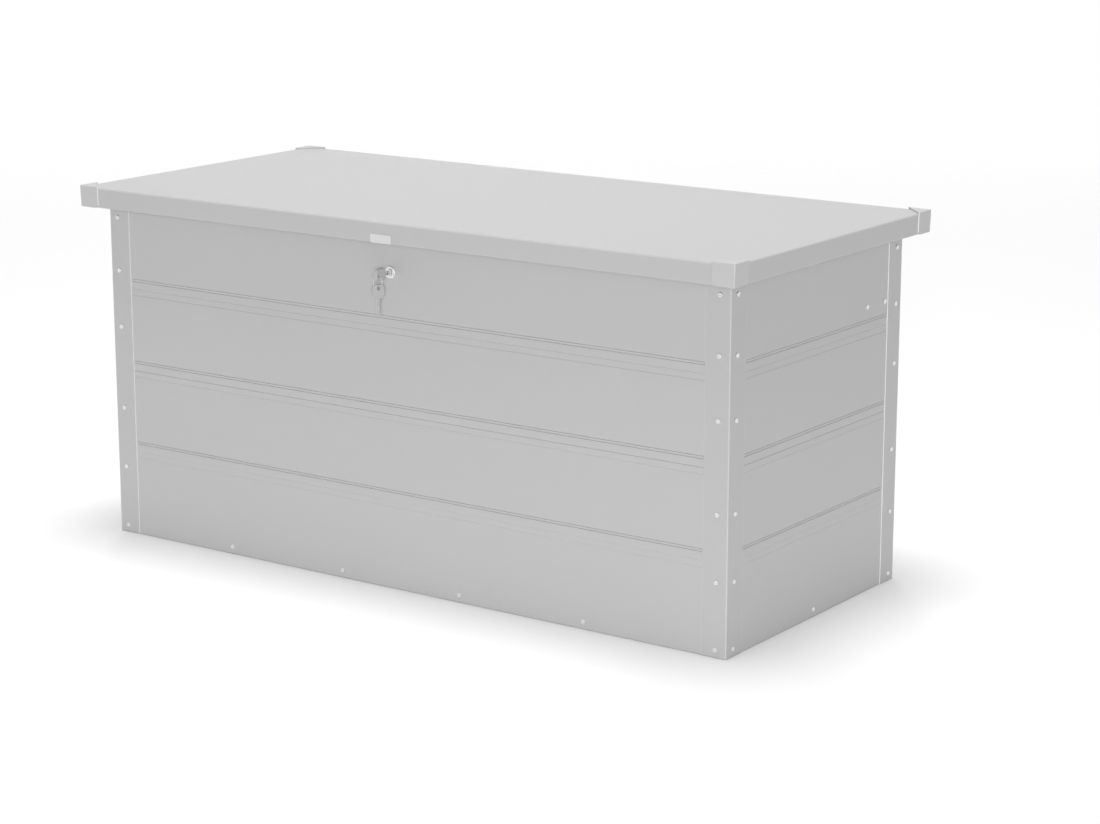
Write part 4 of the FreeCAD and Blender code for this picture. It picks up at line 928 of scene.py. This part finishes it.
def hinge(side):
    """The wall's leaf with a knuckle at each end, and the lid's cranked one between them."""
    spot = [Matrix.Translation((HINGE_X * SIDES[side], *HINGE_AXIS))]
    upright = sheet_outline(np.array([(-0.0045, -0.044), (-0.0045, -0.030), (-0.0045, -0.0058)]), LEAF_GAUGE)
    roll = rolled_leaf([(-0.0045, -0.0080), (-0.0045, -0.0058), (-0.0036, -0.0030)], 178, -105)
    leaf = joined(plate(upright, LEAF_HALF, 0.006, (1, -0.040, 1)), across(roll, (-LEAF_HALF, -KNUCKLE)),
                  across(roll, (KNUCKLE, LEAF_HALF)))
    dress(f"wall_leaf_{side}", leaf, "chest", ZINC, f"hinge_wall_leaf_{side}", 30.0, spot)
    shelf = sheet_outline(rounded_path([(0.0035, 0.0052), (0.0035, 0.0197), (0.0217, 0.0197)], 0.0022, 8), LEAF_GAUGE)
    curl = rolled_leaf([(0.0035, 0.0075), (0.00345, 0.0030)], 0, -285)
    leaf = joined(plate(shelf, LEAF_HALF, 0.006, (0, 0.018, -1)), across(curl, both_ways([KNUCKLE - KNUCKLE_GAP])))
    dress(f"lid_leaf_{side}", leaf, "lid", ZINC, f"hinge_lid_leaf_{side}", 30.0, spot)


def hinge_pins():
    """Pins with rounded ends, turned about the hinge's axis."""
    corners = [(0.0004, -LEAF_HALF), (PIN_RADIUS, -LEAF_HALF), (PIN_RADIUS, LEAF_HALF), (0.0004, LEAF_HALF)]
    places = [axes((0, 1, 0), (1, 0, 0), (x, *HINGE_AXIS)) for x in (-HINGE_X, HINGE_X)]
    dress("pins", turned_solid(corners, 0.0007, 5, 32), "chest", ZINC, "hinge_pins", 40.0, places)


hinge("left")
hinge("right")
hinge_pins()


def catch_bracket():
    """Folded sheet: a ledge, the plate up to the lid and a foot under it, across the cam's way."""
    low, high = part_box("lock_catch")
    gauge, foot = 0.0015, 0.025
    ledge, upright, top = low[2] + gauge / 2, high[1] - foot + gauge / 2, high[2] - gauge / 2
    path = rounded_path([(low[1], ledge), (upright, ledge), (upright, top), (high[1], top)], 0.0024, 8)
    shape = plate(sheet_outline(path, gauge), (high[0] - low[0]) / 2, 0.003, (0, low[1] + 0.004, 1),
                  (0, high[1] - 0.010, -1))
    place = Matrix.Translation(((low[0] + high[0]) / 2, 0, 0))
    dress("catch_bracket", shape, "lid", ZINC, "lock_catch", 30.0, [place])


catch_bracket()


# Inside the walls: folded angles along their upper edge, and the floor's trays.


def edge_rail(side):
    """A folded angle: the upright lies on the wall and the shelf stands inwards. The shelf of an
    end wall's rail stops short of the long rails."""
    turn, reach, run = WALLS[side]
    low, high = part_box(f"top_rail_{side}")
    lengthwise = run == HALF_LENGTH
    half = (high[0] - low[0] if lengthwise else high[1] - low[1]) / 2
    gauge, leg, setback = 0.0008, 0.018, 0.0171
    face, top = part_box("top_rail_front")[0][1] + HALF_DEPTH, high[2] - gauge / 2
    path = rounded_path([(face + gauge / 2, low[2]), (face + gauge / 2, top), (face + leg, top)], 0.002, 8)

    def shortened(outline, along):
        shelf = lengthwise or abs(along) < half - setback - 0.00005
        inset = np.minimum(outline[:, 0], face + (leg if shelf else gauge * 1.5))
        return pairs(inset - reach, outline[:, 1])

    stations = [half] if lengthwise else [half - setback - 0.0001, half - setback, half]
    rail = across(sheet_outline(path, gauge), both_ways(stations), shortened)
    dress(f"edge_rail_{side}", about_z(rail, -turn), "chest", INNER_PAINT, f"top_rail_{side}", 25.0)


def floor_tray(side, turn):
    """Folded sheet: along each way it comes down a wall, round the fold, across and up the other
    wall, and at each point the higher of the two ways counts. At the seam its wall is low."""
    low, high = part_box("floor_panel_right")
    half, seam_wall = WALL_GAUGE / 2, 0.007
    ways = []
    for start, end, rise in ((low[0], high[0], seam_wall), (low[1], high[1], high[2])):
        path = rounded_path([(start + half, rise), (start + half, half), (end - half, half), (end - half, high[2])],
                            0.0018, 8)
        outer, inner = np.split(sheet_outline(path, WALL_GAUGE), 2)
        ways.append((outer, inner[::-1]))
    sheet_faces = []
    for length_way, depth_way in zip(*ways):
        x, y = np.meshgrid(length_way[:, 0], depth_way[:, 0], indexing="ij")
        z = np.maximum(*np.meshgrid(length_way[:, 1], depth_way[:, 1], indexing="ij"))
        sheet_faces.append(np.dstack([x, y, z]))
    tray = about_z(shell(*sheet_faces), turn)
    dress(f"floor_tray_{side}", tray, "chest", INNER_PAINT, f"floor_panel_{side}", 25.0)


def seam_strip():
    """The hat strip that holds the two trays' low walls together."""
    low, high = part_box("floor_splice")
    shape = top_hat(*HAT, high[2] - low[2], WALL_GAUGE, high[1] - low[1])
    place = axes((1, 0, 0), (0, 0, -1), (0, 0, high[2]))
    dress("seam_strip", shape, "chest", INNER_PAINT, "floor_splice", 25.0, [place])


for side in WALLS:
    edge_rail(side)
floor_tray("right", 0)
floor_tray("left", 180)
seam_strip()


# Gas struts. Each is turned about its own line from the wall pivot to the lid pivot.
LINE = LID_PIVOT - PIVOT
STRUT_LENGTH = float(np.hypot(*LINE))
RISING = (0.0, LINE[0] / STRUT_LENGTH, LINE[1] / STRUT_LENGTH)
TUBE_RADIUS = 0.0075
ROD_RADIUS = 0.0030
BORE = 0.0067
GUIDE_BORE = 0.00305
BEAD = 0.0006
HUB = 0.0006


def eye_ring(at):
    """An eye across the strut's line: its section runs round its bore with softened edges."""
    half, radius = 0.0045, 0.0080
    section = rounded_path([(GUIDE_BORE, -0.0030), (GUIDE_BORE, -half), (radius, -half), (radius, half),
                            (GUIDE_BORE, half), (GUIDE_BORE, -0.0030)], 0.0009, 5)
    return many(lathe(section[:-1], 40, True), [axes((0, 0, 1), (1, 0, 0), (0, 0, at))])


def neck(start, end, half_start, half_end):
    """A neck between two rounded squares: a superellipse whose size and squareness change evenly."""
    rows = []
    for share in np.linspace(0, 1, 7):
        half = half_start + (half_end - half_start) * share
        rows.append((superloop(full_turn(40), half, half, 5.0 - 3.0 * share), start + (end - start) * share))
    return layered(rows)


def strut_stud(start, end, shoulder):
    """A stud along X: a domed head, the shaft, and a flat collar at its foot."""
    head, collar = 0.0055, 0.0020
    corners = [(HUB, 0.0), (0.0040, 0.0), (head, 0.0009), (head, collar), (ROD_RADIUS, collar),
               (ROD_RADIUS, shoulder - collar), (head, shoulder - collar), (head, shoulder), (HUB, shoulder)]
    way = 1 if end > start else -1
    return many(turned_solid(corners, 0.0003, 4, 32), [axes((0, 0, 1), (way, 0, 0), (start, 0, 0))])


def strut_tube(line, side):
    """A tube closed at its foot, with a rolled bead near its mouth, the rod's guide and an eye."""
    foot, mouth = 0.014, STRUT_LENGTH - 0.022
    waist = TUBE_RADIUS - BEAD
    corners = [(ROD_RADIUS, foot), (TUBE_RADIUS, foot), (TUBE_RADIUS, mouth - 0.0125), (waist, mouth - 0.0120),
               (waist, mouth - 0.0105), (TUBE_RADIUS, mouth - 0.0100), (TUBE_RADIUS, mouth), (0.0042, mouth),
               (0.0038, mouth - 0.0010), (GUIDE_BORE, mouth - 0.0012), (GUIDE_BORE, mouth - 0.007),
               (BORE, mouth - 0.007), (BORE, foot + 0.004), (ROD_RADIUS, foot + 0.004)]
    shape = joined(turned_solid(corners, 0.0012, 5, 48), eye_ring(0.0), neck(0.0060, 0.0150, 0.0042, 0.0058))
    dress(f"strut_tube_{side}", shape, f"strut_tube_{side}", TUBE_BLACK, f"strut_cylinder_{side}", 40.0, line)


def strut_rod(line, side):
    """The rod with its piston, and the grooved collar and eye at its end."""
    low, piston, hub = STRUT_LENGTH - 0.018, 0.0064, 0.0012
    corners = [(hub, 0.019), (piston, 0.019), (piston, 0.026), (ROD_RADIUS, 0.026), (ROD_RADIUS, low), (hub, low)]
    rod = turned_solid(corners, 0.0004, 4, 40)
    dress(f"strut_shaft_{side}", rod, f"strut_rod_{side}", ROD_CHROME, f"strut_rod_{side}", 40.0, line)
    collar, groove = 0.0045, 0.0040
    corners = [(ROD_RADIUS, low), (collar, low), (collar, low + 0.0040), (groove, low + 0.0045),
               (groove, low + 0.0065), (collar, low + 0.0070), (collar, low + 0.0120), (ROD_RADIUS, low + 0.0120)]
    shape = joined(turned_solid(corners, 0.0004, 4, 40), eye_ring(STRUT_LENGTH))
    dress(f"strut_end_{side}", shape, f"strut_rod_{side}", SOCKET_NYLON, f"strut_socket_{side}", 40.0, line)


def strut_mounts(side):
    """The upper stud, the cranked bracket on the wall and the folded one under the lid."""
    right = SIDES[side]
    upper = strut_stud(0.6028 * right, 0.5861 * right, 0.0167)
    dress(f"upper_stud_{side}", upper, f"strut_rod_{side}", ZINC, f"strut_lid_stud_{side}", 40.0,
          [Matrix.Translation((0, *LID_PIVOT))])
    place = axes((0, 1, 0), (right, 0, 0), (0.6045 * right, *PIVOT))
    dress(f"wall_bracket_{side}", top_hat(0.034, 0.021, 0.0239, 0.002, 0.026, 0.003), "chest", ZINC,
          f"strut_wall_bracket_{side}", 30.0, [place])
    outline = sheet_outline(rounded_path([(-0.020, -0.001), (-0.001, -0.001), (-0.001, -0.024)], 0.0025, 6), 0.002)
    low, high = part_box(f"strut_lid_bracket_{side}")
    place = axes((0, -right, 0), (0, 0, 1), (high[0] if right > 0 else low[0], LID_PIVOT[0], high[2]))
    dress(f"lid_bracket_{side}", plate(outline, 0.022, 0.008, (1, -0.020, 1), (0, -0.016, 1)), "lid", ZINC,
          f"strut_lid_bracket_{side}", 30.0, [place])


for side, right in SIDES.items():
    strut_line = [axes((1, 0, 0), RISING, (STRUT_X * right, *PIVOT))]
    strut_tube(strut_line, side)
    strut_rod(strut_line, side)
    strut_mounts(side)
lower_place = [Matrix.Translation((0, *PIVOT))]
lower_studs = [many(strut_stud(0.5892 * right, 0.6045 * right, 0.0153), lower_place) for right in SIDES.values()]
dress("lower_studs", joined(*lower_studs), "chest", ZINC, "strut_wall_studs", 40.0)


# The floor it stands on, the light and the camera.
AMBIENT = 0.205
LAMP_DISTANCE = 12.0
LAMPS = (
    ("overhead_softbox", 0.64, 30, (-0.01, 0.02, -1.0)),
    ("front_softbox", 0.42, 16, (-0.57, 0.81, -0.15)),
    ("rear_softbox", 0.28, 16, (0.60, -0.75, -0.15)),
)
FLOOR_LEVEL = -0.0008
FLOOR_HALF = 40


def studio():
    """A pale floor that fades into an even pale surround, and three round softboxes far away,
    each as wide as the angle that it is seen under."""
    mesh = bpy.data.meshes.new("studio_floor")
    corners = [(FLOOR_HALF * x, FLOOR_HALF * y, FLOOR_LEVEL) for x, y in CORNERS.values()]
    mesh.from_pydata(corners, [], [(0, 1, 2, 3)])
    floor = in_scene("studio_floor", mesh)
    paper = Finish("studio_paper", Roughness=0.9, Specular_IOR_Level=0.0)
    paper.tone(paper.node("ShaderNodeLightPath", output="Is Camera Ray"), grey(0.90), grey(0.96))
    away = paper.node("ShaderNodeVectorMath", {"operation": "LENGTH"}, output="Value", Vector=paper.place)
    paper.feed(Alpha=paper.node("ShaderNodeMapRange", {"interpolation_type": "SMOOTHSTEP"}, Value=away,
                                From_Min=3.0, From_Max=5.5, To_Min=1.0, To_Max=0.0))
    mesh.materials.append(paper.material)
    world = bpy.data.worlds.new("studio_surround")
    bpy.context.scene.world = world
    world.use_nodes = True
    tree = world.node_tree
    tree.nodes.clear()
    rays = tree.nodes.new("ShaderNodeLightPath")
    seen = Wave(tree, rays.outputs["Is Camera Ray"]) + Wave(tree, rays.outputs["Is Glossy Ray"])
    seen = seen + Wave(tree, rays.outputs["Is Transmission Ray"])
    strength = seen.maths("MINIMUM", seen, 1.0) * (1.0 - AMBIENT) + AMBIENT
    back = tree.nodes.new("ShaderNodeBackground")
    back.inputs["Color"].default_value = (1.0, 1.0, 1.0, 1.0)
    tree.links.new(strength.socket, back.inputs["Strength"])
    out = tree.nodes.new("ShaderNodeOutputWorld")
    tree.links.new(back.outputs[0], out.inputs[0])
    for name, level, spread, way in LAMPS:
        light = bpy.data.lights.new(name, "AREA")
        light.energy = level * 4.0 * math.pi * LAMP_DISTANCE ** 2
        light.shape = "DISK"
        light.size = 2.0 * LAMP_DISTANCE * math.tan(math.radians(spread / 2))
        lamp = in_scene(name, light)
        aim(lamp, Vector((0.0, 0.0, 0.3)) - Vector(way).normalized() * LAMP_DISTANCE, Vector(way))
        lamp.visible_camera = False
        lamp.visible_glossy = False


def view_camera():
    """The photograph's place and angle, worked out from the chest's printed sizes."""
    sensor, picture_width, focal_pixels = 36.0, 1100, 2754.54
    yaw, pitch = -0.61559, -0.23302
    camera = bpy.data.cameras.new("photo_camera")
    camera.sensor_width = sensor
    camera.lens = focal_pixels / picture_width * sensor
    camera.clip_end = 200.0
    holder = in_scene("photo_camera", camera)
    ahead = Vector((math.sin(yaw) * math.cos(pitch), math.cos(yaw) * math.cos(pitch), math.sin(pitch)))
    aim(holder, (2.71456, -3.67503, 1.33388), ahead)
    bpy.context.scene.camera = holder


studio()
view_camera()
bpy.context.scene.view_settings.view_transform = "Standard"
